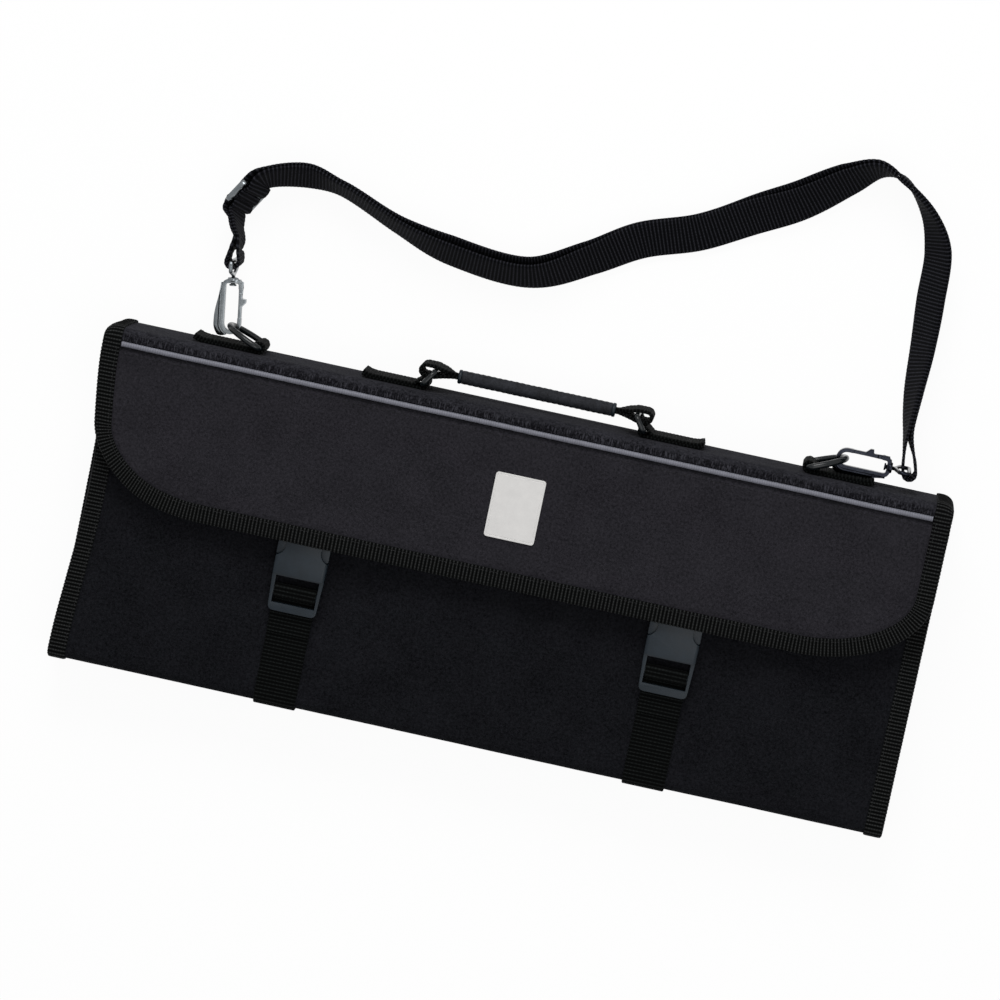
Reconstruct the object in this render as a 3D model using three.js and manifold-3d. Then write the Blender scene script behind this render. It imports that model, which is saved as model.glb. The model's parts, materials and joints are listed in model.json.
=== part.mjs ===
// Hard knife case lying on its back
// X runs along its length, Y from its bottom edge to its spine, Z out of its front.
import * as THREE from "three";
import { mergeVertices } from "three/addons/utils/BufferGeometryUtils.js";
import Module from "manifold-3d";

// Sizes of the shell, in millimetres
const CASE_LENGTH = 508;
const CASE_WIDTH = 203;
const FRONT_HEIGHT = 37.5;
const SPINE_ABOVE_FRONT = 12.1;
const BOARD = 5;
const END_BOARD = 4;
const GAP = 0.3;
const TAPE = 0.8;
const TAPE_WIDTH = 10.7;
const TAPE_END_FACE = 9;
const BACK_RADIUS = 4.5;
const FRONT_RADIUS = 6;
const LIP_SETBACK = 53.5;
const RISE_SETBACK = 17.5;
const RISE_ABOVE_FRONT = 7.7;
const LIP_TAPE = 8;
const LIP_FOLD = 1;

// Sizes of the flap
const WELT_SETBACK = 8.9;
const WELT_RADIUS = 1.5;
const WELT_ABOVE_FRONT = 12.9;
const FLAP_ABOVE_FRONT = 13.7;
const FLAP_EDGE = 4.6;
const FLAP_DEPTH = 94.6;
const FLAP_CORNER_LONG = 75;
const FLAP_CORNER_SHORT = 47;
const PAD = 3.6;
const LABEL_WIDTH = 30;
const LABEL_HEIGHT = 39;
const LABEL_THICK = 0.8;
const LABEL_RADIUS = 1.8;
const LABEL_OFF_CENTRE = 2.5;
const LABEL_BELOW_WELT = 46;

// Sizes of the webbing
const WEB = 25.4;
const WEB_THICK = 1.5;
const PLUG_WEB_THICK = 1.2;

// Sizes of the buckles
const BUCKLE_LEFT_SETBACK = 138.9;
const BUCKLE_RIGHT_SETBACK = 144.4;
const MOUTH_BELOW_WELT = 88;
const SOCKET_WIDTH = 32;
const SOCKET_STEP_WIDTH = 31;
const SOCKET_BODY = 26.8;
const SOCKET_LIFT = 0.4;
const SOCKET_THICK = 8.3;
const SOCKET_ROUND = 2.4;
const SOCKET_CORNER = 2;
const SOCKET_WALL = 1.6;
const CAVITY_WIDTH = 29;
const CAVITY_DEPTH = 24;
const WINDOW_RADIUS = 7;
const WINDOW_OFF_CENTRE = 17.5;
const WINDOW_IN = 9.1;
const LADDER = 22.2;
const LADDER_END_WIDTH = 28.8;
const LADDER_THICK = 3.2;
const LADDER_LIFT = 3.5;
const LADDER_CORNER = 3;
const LADDER_SLOT_WIDTH = 26.2;
const LADDER_SLOT = 7;
const LADDER_BAR = 4;
const LADDER_BAR_THICK = 2.4;
const LADDER_RIM = 1;
const LADDER_END_BAR = 4.8;
const STRAP_BEND = 2.4;
const STRAP_TAIL = 20;
const STRAP_END_HEIGHT = 11;
const PLUG_GAP = 0.4;
const PLUG_BLOCK = 6.5;
const PLUG_WIDTH = 31;
const PLUG_LIFT = 1.4;
const PLUG_THICK = 6.7;
const PLUG_CORNER = 1.6;
const PLUG_FRAME_THICK = 3.2;
const PLUG_FRAME_LIFT = 2.9;
const PLUG_FRAME = 14;
const PLUG_SLOT_START = 2;
const PLUG_END_BAR = 3.5;
const TONGUE_WIDTH = 5.6;
const TONGUE_LENGTH = 14;
const TONGUE_THICK = 3.3;
const PRONG_INNER = 8.2;
const PRONG_ARM = 2.4;
const PRONG_OUTER = 15.7;
const PRONG_LENGTH = 15.6;
const PRONG_NECK = 3.8;
const PRONG_HEAD = 12;
const PRONG_THICK = 4.3;
const PRONG_BEND = 1;
const PLUG_TAB_END = 57;
const PLUG_TAB_BEND = 1.2;

// Sizes of the handle
const FIX_HEIGHT = 25.4;
const HANDLE_ROD = 3.4;
const HANDLE_REACH = 19;
const HANDLE_BAR_RISE = 3.8;
const HANDLE_RING_LONG = 10;
const HANDLE_RING_WIDE = 30.4;
const HANDLE_RING_CORNER = 3;
const HANDLE_LOOP_PLAY = 0.6;
const HANDLE_LOOP_THICK = 1.3;
const HANDLE_WEB = 24;
const GRIP_LENGTH = 95;
const GRIP_RADIUS = 4.6;
const GRIP_BORE = 3;
const GRIP_ROUND = 0.8;
const GRIP_RISE = 11.3;
const CORE_RADIUS = 2.7;
const NECK_INSET = 1.5;
const HANDLE_TAB = 36.5;
const TAB_CURL = 7;
const TAB_CURL_RISE = 1.6;

// Sizes of the strap rings and hooks
const RING_ROD = 3.8;
const RING_SETBACK = 88.3;
const RING_BAR_RISE = 4.1;
const RING_LONG = 22;
const RING_WIDE = 30.4;
const RING_TAB = 39.3;
const HOOK_RADIUS = 5.1;
const HOOK_ROD = 2.8;
const HOOK_THICK = 5;
const HOOK_TOP = 25.2;
const HOOK_NOSE = 3.8;
const HOOK_SEAT_LEFT = 1.1;
const HOOK_SEAT_RIGHT = 0.3;
const HOOK_CORNER = 2.5;
const BARREL_RADIUS = 3.4;
const BARREL_LENGTH = 2.4;
const BARREL_BORE = 1.7;
const SHANK_RADIUS = 1.35;
const SHANK_HEAD = 2.4;
const SHANK_HEAD_THICK = 1.2;
const GATE_ROD = 2.4;
const GATE_PIVOT = 21.3;
const GATE_PIN = 0.7;
const GATE_BORE = 1;
const GATE_TIP_GAP = 0.5;
const GATE_THICK = 2.2;
const GATE_WIDE = 4;
const GATE_STEP = 3.4;
const LEVER_START = 6;
const LEVER_LENGTH = 5;
const LEVER_RISE = 2.4;
const CHEEK_RADIUS = 1.7;
const EYE_ROD = 2.8;
const EYE_BAR = 37.6;
const EYE_WIDE = 29.2;
const EYE_SIDE = 5.6;
const EYE_NECK = 29.4;
const EYE_NECK_WIDE = 5;
const EYE_CORNER = 2;

// Sizes of the shoulder strap's slider, and its place beside the case
const SLIDER_WIDE = 31.4;
const SLIDER_LONG = 16;
const SLIDER_THICK = 2.8;
const SLIDER_BAR = 2.6;
const SLIDER_SIDE = 2.2;
const SLIDER_CORNER = 2.5;
const SLIDER_SETBACK = 61;
const SLIDER_OUT = 88.5;
const SLIDER_REST = 16.2;
const PLY_GAP = 0.4;
const LOOP_PLAY = 0.5;
const EYE_LOOP_PLAY = 1.6;
const LOOP_TAPER = 12;
const STRAP_LEAD = 7.5;
const STRAP_CLEAR = 0.5;

// Sizes of the elastic knife bands
const BAND_WIDE = 50;
const BAND_THICK = 1.2;
const BAND_SETBACK = 25.5;
const BAND_SEAM = 10;
const BAND_HEIGHT = 13;
const BAND_BEND = 5;
const BAND_LEFT_SETBACK = 104;
const BAND_RIGHT_SETBACK = 154;

// Angles in degrees and counts
const HANDLE_LEAN_DEG = 34;
const RING_LEAN_DEG = 22;
const TAB_WRAP_DEG = 50;
const LEFT_HOOK_DEG = 98;
const SLIDER_DEG = 58;
const SLIDER_TILT_DEG = 65;
const ARC_STEPS = 4;
const CORNER_STEPS = 12;
const ROD_STEPS = 10;
const GRIP_STEPS = 24;
const WINDOW_STEPS = 28;
const LOOP_STEPS = 8;
const STRAP_STATIONS = 44;
const LEG_STATIONS = 10;
const BAND_LOOPS = 4;

// The strap's route beside the spine
// Along and away from the spine as shares of the case's length, then its tilt in degrees.
const STRAP_ROUTE_SHARES = [
  [-0.316, 0.212, 57],
  [-0.272, 0.206, 70],
  [-0.198, 0.178, 68],
  [-0.135, 0.162, 57],
  [-0.038, 0.156, 55],
  [0.027, 0.187, 45],
  [0.08, 0.219, 34],
  [0.146, 0.243, 33],
  [0.209, 0.279, 33],
  [0.251, 0.303, 36],
  [0.302, 0.34, 49],
  [0.334, 0.358, 50],
  [0.365, 0.351, 50],
  [0.401, 0.318, 50],
  [0.419, 0.28, 50],
  [0.423, 0.222, 52],
  [0.426, 0.164, 60],
];
// Its last stretches, where it lifts off the table to each hook
// Along, away and height above the table as shares, then tilt.
const STRAP_RISE_SHARES = [
  [0.427, 0.11, 0.036, 72],
  [0.431, 0.065, 0.046, 85],
];
const LEG_SHARES = [
  [-0.378, 0.125, 0.046, 86],
  [-0.381, 0.145, 0.038, 76],
];

// Derived positions
const LAST_DEG = 360 - 360 / ROD_STEPS;
const RAD = Math.PI / 180;
const yBottom = -CASE_WIDTH / 2;
const ySpine = CASE_WIDTH / 2;
const spineHeight = FRONT_HEIGHT + SPINE_ABOVE_FRONT;
const riseHeight = FRONT_HEIGHT + RISE_ABOVE_FRONT;
const weltHeight = FRONT_HEIGHT + WELT_ABOVE_FRONT;
const flapTop = FRONT_HEIGHT + FLAP_ABOVE_FRONT;
const zBase = GAP + TAPE;
const zInside = zBase + BOARD;
const zWall = zInside + GAP;
const yLip = ySpine - LIP_SETBACK;
const yRise = ySpine - RISE_SETBACK;
const yHinge = ySpine - WELT_SETBACK;
const ySpineLip = yHinge + WELT_RADIUS + GAP;
const spineRadius = ySpine - ySpineLip;
const yFlapTop = yHinge - WELT_RADIUS - GAP;
const yFlapLow = yHinge - FLAP_DEPTH;
const xEnd = CASE_LENGTH / 2;
const xGusset = xEnd - zBase;
const xBoard = xGusset - END_BOARD - GAP;
const xTape = xEnd - TAPE_WIDTH;
const zFlapLow = flapTop - FLAP_EDGE;
const padTop = flapTop - GAP;
const yMouth = yHinge - MOUTH_BELOW_WELT;
const handleBar = GRIP_LENGTH / 2 + HANDLE_REACH;
const ringBar = xEnd - RING_SETBACK;

const wasm = await Module();
wasm.setup();

// Turning a three.js body into one that can be joined or cut
function toSolid(geometry) {
  const bare = geometry.clone();
  bare.deleteAttribute("normal");
  bare.deleteAttribute("uv");
  const merged = mergeVertices(bare, GAP / 1000);
  return new wasm.Manifold(
    new wasm.Mesh({
      numProp: 3,
      vertProperties: new Float32Array(merged.attributes.position.array),
      triVerts: new Uint32Array(merged.index.array),
    }),
  );
}

// Turning it back
function toGeometry(solid) {
  const mesh = solid.getMesh();
  const geometry = new THREE.BufferGeometry();
  geometry.setAttribute("position", new THREE.BufferAttribute(new Float32Array(mesh.vertProperties), 3));
  geometry.setIndex(new THREE.BufferAttribute(new Uint32Array(mesh.triVerts), 1));
  return geometry;
}

function join(parts) {
  return toGeometry(parts.map(toSolid).reduce((a, b) => a.add(b)));
}

function cut(body, tools) {
  return toGeometry(tools.map(toSolid).reduce((a, b) => a.subtract(b), toSolid(body)));
}

function common(a, b) {
  return toGeometry(toSolid(a).intersect(toSolid(b)));
}

// Points of an arc, angles in degrees
function arc(cx, cy, rx, ry, from, to, steps) {
  const points = [];
  for (let i = 0; i <= steps; i++) {
    const angle = (from + ((to - from) * i) / steps) * RAD;
    points.push([cx + rx * Math.cos(angle), cy + ry * Math.sin(angle)]);
  }
  return points;
}

// A round outline about a centre
function disc(a, b, radius) {
  return arc(a, b, radius, radius, 0, LAST_DEG, ROD_STEPS - 1);
}

// A line of corners [a, b, radius] with each corner rounded by its radius
function rounded(corners, closed) {
  const points = [];
  const count = corners.length;
  corners.forEach((corner, i) => {
    const [a, b, radius] = corner;
    if (!radius || (!closed && (i === 0 || i === count - 1))) {
      points.push([a, b]);
      return;
    }
    const here = new THREE.Vector2(a, b);
    const before = corners[(i + count - 1) % count];
    const after = corners[(i + 1) % count];
    const toBefore = new THREE.Vector2(before[0], before[1]).sub(here).normalize();
    const toAfter = new THREE.Vector2(after[0], after[1]).sub(here).normalize();
    const half = Math.acos(THREE.MathUtils.clamp(toBefore.dot(toAfter), -1, 1)) / 2;
    const middle = toBefore.clone().add(toAfter).normalize();
    const centre = here.clone().addScaledVector(middle, radius / Math.sin(half));
    const start = here.clone().addScaledVector(toBefore, radius / Math.tan(half)).sub(centre);
    const end = here.clone().addScaledVector(toAfter, radius / Math.tan(half)).sub(centre);
    const first = Math.atan2(start.y, start.x);
    let turn = Math.atan2(end.y, end.x) - first;
    turn -= 2 * Math.PI * Math.round(turn / (2 * Math.PI));
    for (let k = 0; k <= ARC_STEPS; k++) {
      const angle = first + (turn * k) / ARC_STEPS;
      points.push([centre.x + radius * Math.cos(angle), centre.y + radius * Math.sin(angle)]);
    }
  });
  return points;
}

// Moves a closed outline outwards by a distance, inwards when it is negative
function offset(points, distance) {
  const area = THREE.ShapeUtils.area(points.map(([a, b]) => new THREE.Vector2(a, b)));
  const side = area > 0 ? 1 : -1;
  const count = points.length;
  return points.map((point, i) => {
    const here = new THREE.Vector2(...point);
    const inDirection = here.clone().sub(new THREE.Vector2(...points[(i + count - 1) % count])).normalize();
    const outDirection = new THREE.Vector2(...points[(i + 1) % count]).sub(here).normalize();
    const sum = inDirection.clone().add(outDirection);
    const normal = new THREE.Vector2(sum.y, -sum.x).normalize();
    const stretch = side * distance / (normal.x * inDirection.y - normal.y * inDirection.x);
    return [here.x + normal.x * stretch, here.y + normal.y * stretch];
  });
}

// A closed outline that follows an open line at a thickness
function thicken(line, thick) {
  const left = [];
  const right = [];
  line.forEach((point, i) => {
    const here = new THREE.Vector2(...point);
    const before = new THREE.Vector2(...line[Math.max(i - 1, 0)]);
    const after = new THREE.Vector2(...line[Math.min(i + 1, line.length - 1)]);
    const d0 = i > 0 ? here.clone().sub(before).normalize() : after.clone().sub(here).normalize();
    const d1 = i < line.length - 1 ? after.clone().sub(here).normalize() : d0;
    const normal = new THREE.Vector2(-d0.y - d1.y, d0.x + d1.x).normalize();
    const reach = thick / 2 / (normal.x * -d0.y + normal.y * d0.x);
    left.push([here.x + normal.x * reach, here.y + normal.y * reach]);
    right.push([here.x - normal.x * reach, here.y - normal.y * reach]);
  });
  return [...left, ...right.reverse()];
}

// An outline drawn out between two depths: in XY along Z, in YZ along X, or in ZX along Y
function slab(points, from, to, plane = "xy") {
  const shape = new THREE.Shape(points.map(([a, b]) => new THREE.Vector2(a, b)));
  const geometry = new THREE.ExtrudeGeometry(shape, { depth: to - from, bevelEnabled: false });
  geometry.translate(0, 0, from);
  const turn = new THREE.Matrix4();
  if (plane === "yz") {
    turn.set(0, 0, 1, 0, 1, 0, 0, 0, 0, 1, 0, 0, 0, 0, 0, 1);
  }
  if (plane === "zx") {
    turn.set(0, 1, 0, 0, 0, 0, 1, 0, 1, 0, 0, 0, 0, 0, 0, 1);
  }
  return geometry.applyMatrix4(turn);
}

function rectangle(a0, a1, b0, b1) {
  return [
    [a0, b0],
    [a1, b0],
    [a1, b1],
    [a0, b1],
  ];
}

function roundedRectangle(a0, a1, b0, b1, radius) {
  return rounded(
    rectangle(a0, a1, b0, b1).map((corner) => [...corner, radius]),
    true,
  );
}

function block(x0, x1, y0, y1, z0, z1) {
  return slab(rectangle(x0, x1, y0, y1), z0, z1);
}

// A section carried along stations, each with a point and two cross directions
function sweep(stations, section, closed) {
  const positions = [];
  const index = [];
  const rim = section.length;
  const count = stations.length;
  stations.forEach(({ point, u, v }) => {
    section.forEach(([a, b]) => {
      const place = point.clone().addScaledVector(u, a).addScaledVector(v, b);
      positions.push(place.x, place.y, place.z);
    });
  });
  for (let i = 0; i < (closed ? count : count - 1); i++) {
    const next = (i + 1) % count;
    for (let j = 0; j < rim; j++) {
      const k = (j + 1) % rim;
      index.push(i * rim + j, i * rim + k, next * rim + k);
      index.push(i * rim + j, next * rim + k, next * rim + j);
    }
  }
  if (!closed) {
    const last = (count - 1) * rim;
    for (let j = 1; j < rim - 1; j++) {
      index.push(0, j + 1, j);
      index.push(last, last + j, last + j + 1);
    }
  }
  const geometry = new THREE.BufferGeometry();
  geometry.setAttribute("position", new THREE.Float32BufferAttribute(positions, 3));
  geometry.setIndex(index);
  return geometry;
}

// A round rod along a closed line lying in one plane
function closedRod(points, normal, radius) {
  const count = points.length;
  const stations = points.map((point, i) => {
    const along = points[(i + 1) % count].clone().sub(points[(i + count - 1) % count]).normalize();
    return { point, u: normal.clone().cross(along).normalize(), v: normal };
  });
  return sweep(stations, disc(0, 0, radius), true);
}

// A flat ribbon round a closed line, its width along each station's own direction
function closedRibbon(points, widths, wide, thick) {
  const count = points.length;
  const stations = points.map((point, i) => {
    const along = points[(i + 1) % count].clone().sub(points[(i + count - 1) % count]).normalize();
    const v = widths[i].clone().addScaledVector(along, -widths[i].dot(along)).normalize();
    return { point, u: v.clone().cross(along).normalize(), v };
  });
  return sweep(stations, rectangle(-thick / 2, thick / 2, -wide / 2, wide / 2), true);
}

const object = new THREE.Group();
object.name = "hard_knife_case";

function add(name, geometry, color, roughness, metalness = 0) {
  const material = new THREE.MeshStandardMaterial({ color, roughness, metalness });
  const mesh = new THREE.Mesh(geometry, material);
  mesh.name = name;
  object.add(mesh);
  return mesh;
}

const CLOTH = 0x17171a;
const FLAP_CLOTH = 0x242327;
const TAPE_COLOR = 0x1a1b1b;
const WEB_COLOR = 0x151517;
const BUCKLE_COLOR = 0x32363c;
const RING_COLOR = 0x2f3739;
const STEEL = 0x8b9096;
const PIPING = 0x84858f;
const LABEL_COLOR = 0xd3d2d0;
const ELASTIC = 0x1c1c20;

// The five boards of the shell, each its own padded board
const frontCorner = [yBottom, FRONT_HEIGHT, FRONT_RADIUS];
add(
  "back_board",
  slab(
    rounded(
      [
        [yBottom, zBase, BACK_RADIUS],
        [ySpine, zBase, BACK_RADIUS],
        [ySpine, zInside],
        [yBottom, zInside],
      ],
      true,
    ),
    -xBoard,
    xBoard,
    "yz",
  ),
  CLOTH,
  0.95,
);
add(
  "bottom_board",
  slab(
    rounded(
      [
        [yBottom, zWall],
        [yBottom + BOARD, zWall],
        [yBottom + BOARD, FRONT_HEIGHT - BOARD, FRONT_RADIUS - BOARD],
        [yBottom + FRONT_RADIUS, FRONT_HEIGHT - BOARD],
        [yBottom + FRONT_RADIUS, FRONT_HEIGHT],
        frontCorner,
      ],
      true,
    ),
    -xBoard,
    xBoard,
    "yz",
  ),
  CLOTH,
  0.95,
);
const zSpineCentre = spineHeight - spineRadius;
add(
  "spine_board",
  slab(
    [
      [ySpine - BOARD, zWall],
      [ySpine, zWall],
      ...arc(ySpineLip, zSpineCentre, spineRadius, spineRadius, 0, 90, CORNER_STEPS),
      ...arc(ySpineLip, zSpineCentre, spineRadius - BOARD, spineRadius - BOARD, 90, 0, ARC_STEPS),
    ],
    -xBoard,
    xBoard,
    "yz",
  ),
  CLOTH,
  0.95,
);
add(
  "front_panel",
  slab(
    rectangle(yBottom + FRONT_RADIUS + GAP, yLip, FRONT_HEIGHT - BOARD, FRONT_HEIGHT),
    -xBoard,
    xBoard,
    "yz",
  ),
  CLOTH,
  0.95,
);
const lipOut = GAP + TAPE / 2;
const lipLine = rounded(
  [
    [yLip - LIP_TAPE, FRONT_HEIGHT + lipOut],
    [yLip + lipOut, FRONT_HEIGHT + lipOut, LIP_FOLD],
    [yLip + lipOut, FRONT_HEIGHT - BOARD - lipOut, LIP_FOLD],
    [yLip - LIP_TAPE, FRONT_HEIGHT - BOARD - lipOut],
  ],
  false,
);
add("front_lip_tape", slab(thicken(lipLine, TAPE), -xTape + GAP, xTape - GAP, "yz"), TAPE_COLOR, 0.8);

// The end walls and the ribbed tape that binds each of them to the boards all round
const endOutline = [
  ...rounded(
    [
      [ySpineLip, riseHeight],
      [yRise, riseHeight],
      [yLip, FRONT_HEIGHT],
      frontCorner,
      [yBottom, zBase, BACK_RADIUS],
      [ySpine, zBase, BACK_RADIUS],
      [ySpine, zSpineCentre],
    ],
    true,
  ),
  ...arc(ySpineLip, zSpineCentre, spineRadius, spineRadius, 0, 90, CORNER_STEPS).slice(1),
];
const endFace = [
  [yBottom + TAPE_END_FACE, zBase + TAPE_END_FACE],
  [ySpine - TAPE_END_FACE, zBase + TAPE_END_FACE],
  [ySpine - TAPE_END_FACE, riseHeight - TAPE_END_FACE],
  [yRise, riseHeight - TAPE_END_FACE],
  [yLip, FRONT_HEIGHT - TAPE_END_FACE],
  [yBottom + TAPE_END_FACE, FRONT_HEIGHT - TAPE_END_FACE],
];
const endSides = [
  ["left", -1],
  ["right", 1],
];
endSides.forEach(([side, sign]) => {
  const span = (a, b) => (sign > 0 ? [a, b] : [-b, -a]);
  add(`end_wall_${side}`, slab(endOutline, ...span(xGusset - END_BOARD, xGusset), "yz"), CLOTH, 0.95);
  const tapeBody = slab(offset(endOutline, GAP + TAPE), ...span(xTape, xEnd), "yz");
  const room = slab(offset(endOutline, GAP), ...span(xTape - TAPE_WIDTH, xEnd - TAPE), "yz");
  const face = slab(endFace, ...span(xTape, xEnd + TAPE), "yz");
  add(`end_tape_${side}`, cut(tapeBody, [room, face]), TAPE_COLOR, 0.8);
});

// The flap: a padded panel with its edge bound in tape on three sides
function flapOutline(inset, top) {
  const half = xEnd - inset;
  const low = yFlapLow + inset;
  const long = FLAP_CORNER_LONG - inset;
  const short = FLAP_CORNER_SHORT - inset;
  return [
    [-half, top],
    ...arc(-half + long, low + short, long, short, 180, 270, CORNER_STEPS),
    ...arc(half - long, low + short, long, short, 270, 360, CORNER_STEPS),
    [half, top],
  ];
}
add(
  "flap_panel",
  join([
    slab(flapOutline(TAPE + GAP, yFlapTop), zFlapLow + TAPE + GAP, flapTop - TAPE - GAP),
    slab(flapOutline(TAPE_WIDTH + GAP, yFlapTop), padTop - PAD, padTop),
  ]),
  FLAP_CLOTH,
  0.95,
);
add(
  "flap_tape",
  cut(slab(flapOutline(0, yFlapTop), zFlapLow, flapTop), [
    slab(flapOutline(TAPE, yHinge), zFlapLow + TAPE, flapTop - TAPE),
    slab(flapOutline(TAPE_WIDTH, yHinge), zFlapLow - TAPE, flapTop + TAPE),
  ]),
  TAPE_COLOR,
  0.8,
);
add(
  "welt_piping",
  slab(disc(yHinge, weltHeight, WELT_RADIUS), -xTape + GAP, xTape - GAP, "yz"),
  PIPING,
  0.45,
);
const yLabel = yHinge - LABEL_BELOW_WELT;
add(
  "label_plate",
  slab(
    roundedRectangle(
      LABEL_OFF_CENTRE - LABEL_WIDTH / 2,
      LABEL_OFF_CENTRE + LABEL_WIDTH / 2,
      yLabel - LABEL_HEIGHT / 2,
      yLabel + LABEL_HEIGHT / 2,
      LABEL_RADIUS,
    ),
    padTop + GAP,
    padTop + GAP + LABEL_THICK,
  ),
  LABEL_COLOR,
  0.6,
);

// The buckles: socket with side windows and a ladder for the webbing, plug with two sprung prongs
const zSocket = FRONT_HEIGHT + SOCKET_LIFT;
const zSocketTop = zSocket + SOCKET_THICK;
const yStep = yMouth - SOCKET_BODY;
const yLadderEnd = yStep - LADDER;
const zLadder = FRONT_HEIGHT + SOCKET_LIFT + LADDER_LIFT;
const yBarTop = yStep - LADDER_RIM - LADDER_SLOT;
const yBarLow = yBarTop - LADDER_BAR;
const zBar = zLadder + LADDER_THICK / 2;
function socket(cx) {
  const half = SOCKET_WIDTH / 2;
  const stepHalf = SOCKET_STEP_WIDTH / 2;
  const endHalf = LADDER_END_WIDTH / 2;
  const outline = rounded(
    [
      [cx - stepHalf, yStep],
      [cx + stepHalf, yStep],
      [cx + half, yMouth, SOCKET_CORNER],
      [cx - half, yMouth, SOCKET_CORNER],
    ],
    true,
  );
  const profile = roundedRectangle(zSocket, zSocketTop, cx - half, cx + half, SOCKET_ROUND);
  const body = common(slab(outline, zSocket, zSocketTop), slab(profile, yStep, yMouth, "zx"));
  const frame = slab(
    rounded(
      [
        [cx - endHalf, yLadderEnd, LADDER_CORNER],
        [cx + endHalf, yLadderEnd, LADDER_CORNER],
        [cx + stepHalf, yStep + LADDER_RIM],
        [cx - stepHalf, yStep + LADDER_RIM],
      ],
      true,
    ),
    zLadder,
    zLadder + LADDER_THICK,
  );
  const slotHalf = LADDER_SLOT_WIDTH / 2;
  const zOver = zLadder + LADDER_THICK + LADDER_RIM;
  const zUnder = zLadder - LADDER_RIM;
  const barLow = zBar - LADDER_BAR_THICK / 2;
  const barHigh = zBar + LADDER_BAR_THICK / 2;
  const tools = [
    block(cx - slotHalf, cx + slotHalf, yBarTop, yStep - LADDER_RIM, zUnder, zOver),
    block(cx - slotHalf, cx + slotHalf, yLadderEnd + LADDER_END_BAR, yBarLow, zUnder, zOver),
    block(cx - slotHalf, cx + slotHalf, yBarLow - LADDER_RIM, yBarTop + LADDER_RIM, zUnder, barLow),
    block(cx - slotHalf, cx + slotHalf, yBarLow - LADDER_RIM, yBarTop + LADDER_RIM, barHigh, zOver),
    block(
      cx - CAVITY_WIDTH / 2,
      cx + CAVITY_WIDTH / 2,
      yMouth - CAVITY_DEPTH,
      yMouth + SOCKET_WALL,
      zSocket + SOCKET_WALL,
      zSocketTop - SOCKET_WALL,
    ),
  ];
  [-1, 1].forEach((sign) => {
    const circle = arc(
      cx + sign * WINDOW_OFF_CENTRE,
      yMouth - WINDOW_IN,
      WINDOW_RADIUS,
      WINDOW_RADIUS,
      0,
      360 - 360 / WINDOW_STEPS,
      WINDOW_STEPS - 1,
    );
    tools.push(slab(circle, zSocket - SOCKET_WALL, zSocketTop + SOCKET_WALL));
  });
  return cut(join([body, frame]), tools);
}

// Webbing from the ladder's middle bar, under its end bar, down the front and round the bottom corner
function socketStrap(cx) {
  const zLow = FRONT_HEIGHT + GAP + WEB_THICK / 2;
  const zTail = zLow + WEB_THICK + GAP / 3;
  const reach = LADDER_BAR_THICK / 2 + GAP + WEB_THICK / 2;
  const yFace = yBottom - GAP - WEB_THICK / 2;
  const yFar = yBarTop + GAP + GAP + WEB_THICK / 2;
  const ySlot = yBarLow - GAP - WEB_THICK / 2;
  const line = rounded(
    [
      [yFace, STRAP_END_HEIGHT],
      [yFace, zLow, FRONT_RADIUS + GAP + WEB_THICK / 2],
      [ySlot - STRAP_BEND, zLow, WEB_THICK],
      [ySlot + WEB_THICK, zBar - reach, WEB_THICK],
      [yFar, zBar - reach, WEB_THICK],
      [yFar, zBar + reach, WEB_THICK],
      [ySlot + WEB_THICK / 3, zBar + reach, WEB_THICK],
      [ySlot - STRAP_BEND, zTail, WEB_THICK],
      [ySlot - STRAP_BEND - STRAP_TAIL, zTail],
    ],
    false,
  );
  return slab(thicken(line, WEB_THICK), cx - WEB / 2, cx + WEB / 2, "yz");
}

const yPlug = yMouth + PLUG_GAP;
const zPlug = zSocket + PLUG_LIFT - SOCKET_LIFT;
const zPlugFrame = FRONT_HEIGHT + PLUG_FRAME_LIFT;
const yPlugFrame = yPlug + PLUG_BLOCK;
const yPlugEnd = yPlugFrame + PLUG_FRAME;
function plug(cx) {
  const half = PLUG_WIDTH / 2;
  const slotHalf = LADDER_SLOT_WIDTH / 2;
  const head = common(
    slab(roundedRectangle(cx - half, cx + half, yPlug, yPlugFrame, PLUG_CORNER), zPlug, zPlug + PLUG_THICK),
    slab(
      roundedRectangle(zPlug, zPlug + PLUG_THICK, cx - half, cx + half, PLUG_CORNER),
      yPlug,
      yPlugFrame,
      "zx",
    ),
  );
  const frame = slab(
    rounded(
      [
        [cx - half + LADDER_RIM, yPlug + PLUG_BLOCK / 2],
        [cx + half - LADDER_RIM, yPlug + PLUG_BLOCK / 2],
        [cx + half - LADDER_RIM, yPlugEnd, PLUG_CORNER],
        [cx - half + LADDER_RIM, yPlugEnd, PLUG_CORNER],
      ],
      true,
    ),
    zPlugFrame,
    zPlugFrame + PLUG_FRAME_THICK,
  );
  const slot = block(
    cx - slotHalf,
    cx + slotHalf,
    yPlugFrame + PLUG_SLOT_START,
    yPlugEnd - PLUG_END_BAR,
    zPlug,
    zPlug + PLUG_THICK,
  );
  const zMiddle = zSocket + SOCKET_THICK / 2;
  const tongue = block(
    cx - TONGUE_WIDTH / 2,
    cx + TONGUE_WIDTH / 2,
    yPlug - TONGUE_LENGTH,
    yPlug + PLUG_BLOCK / 2,
    zMiddle - TONGUE_THICK / 2,
    zMiddle + TONGUE_THICK / 2,
  );
  return join([cut(frame, [slot]), head, tongue]);
}

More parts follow.
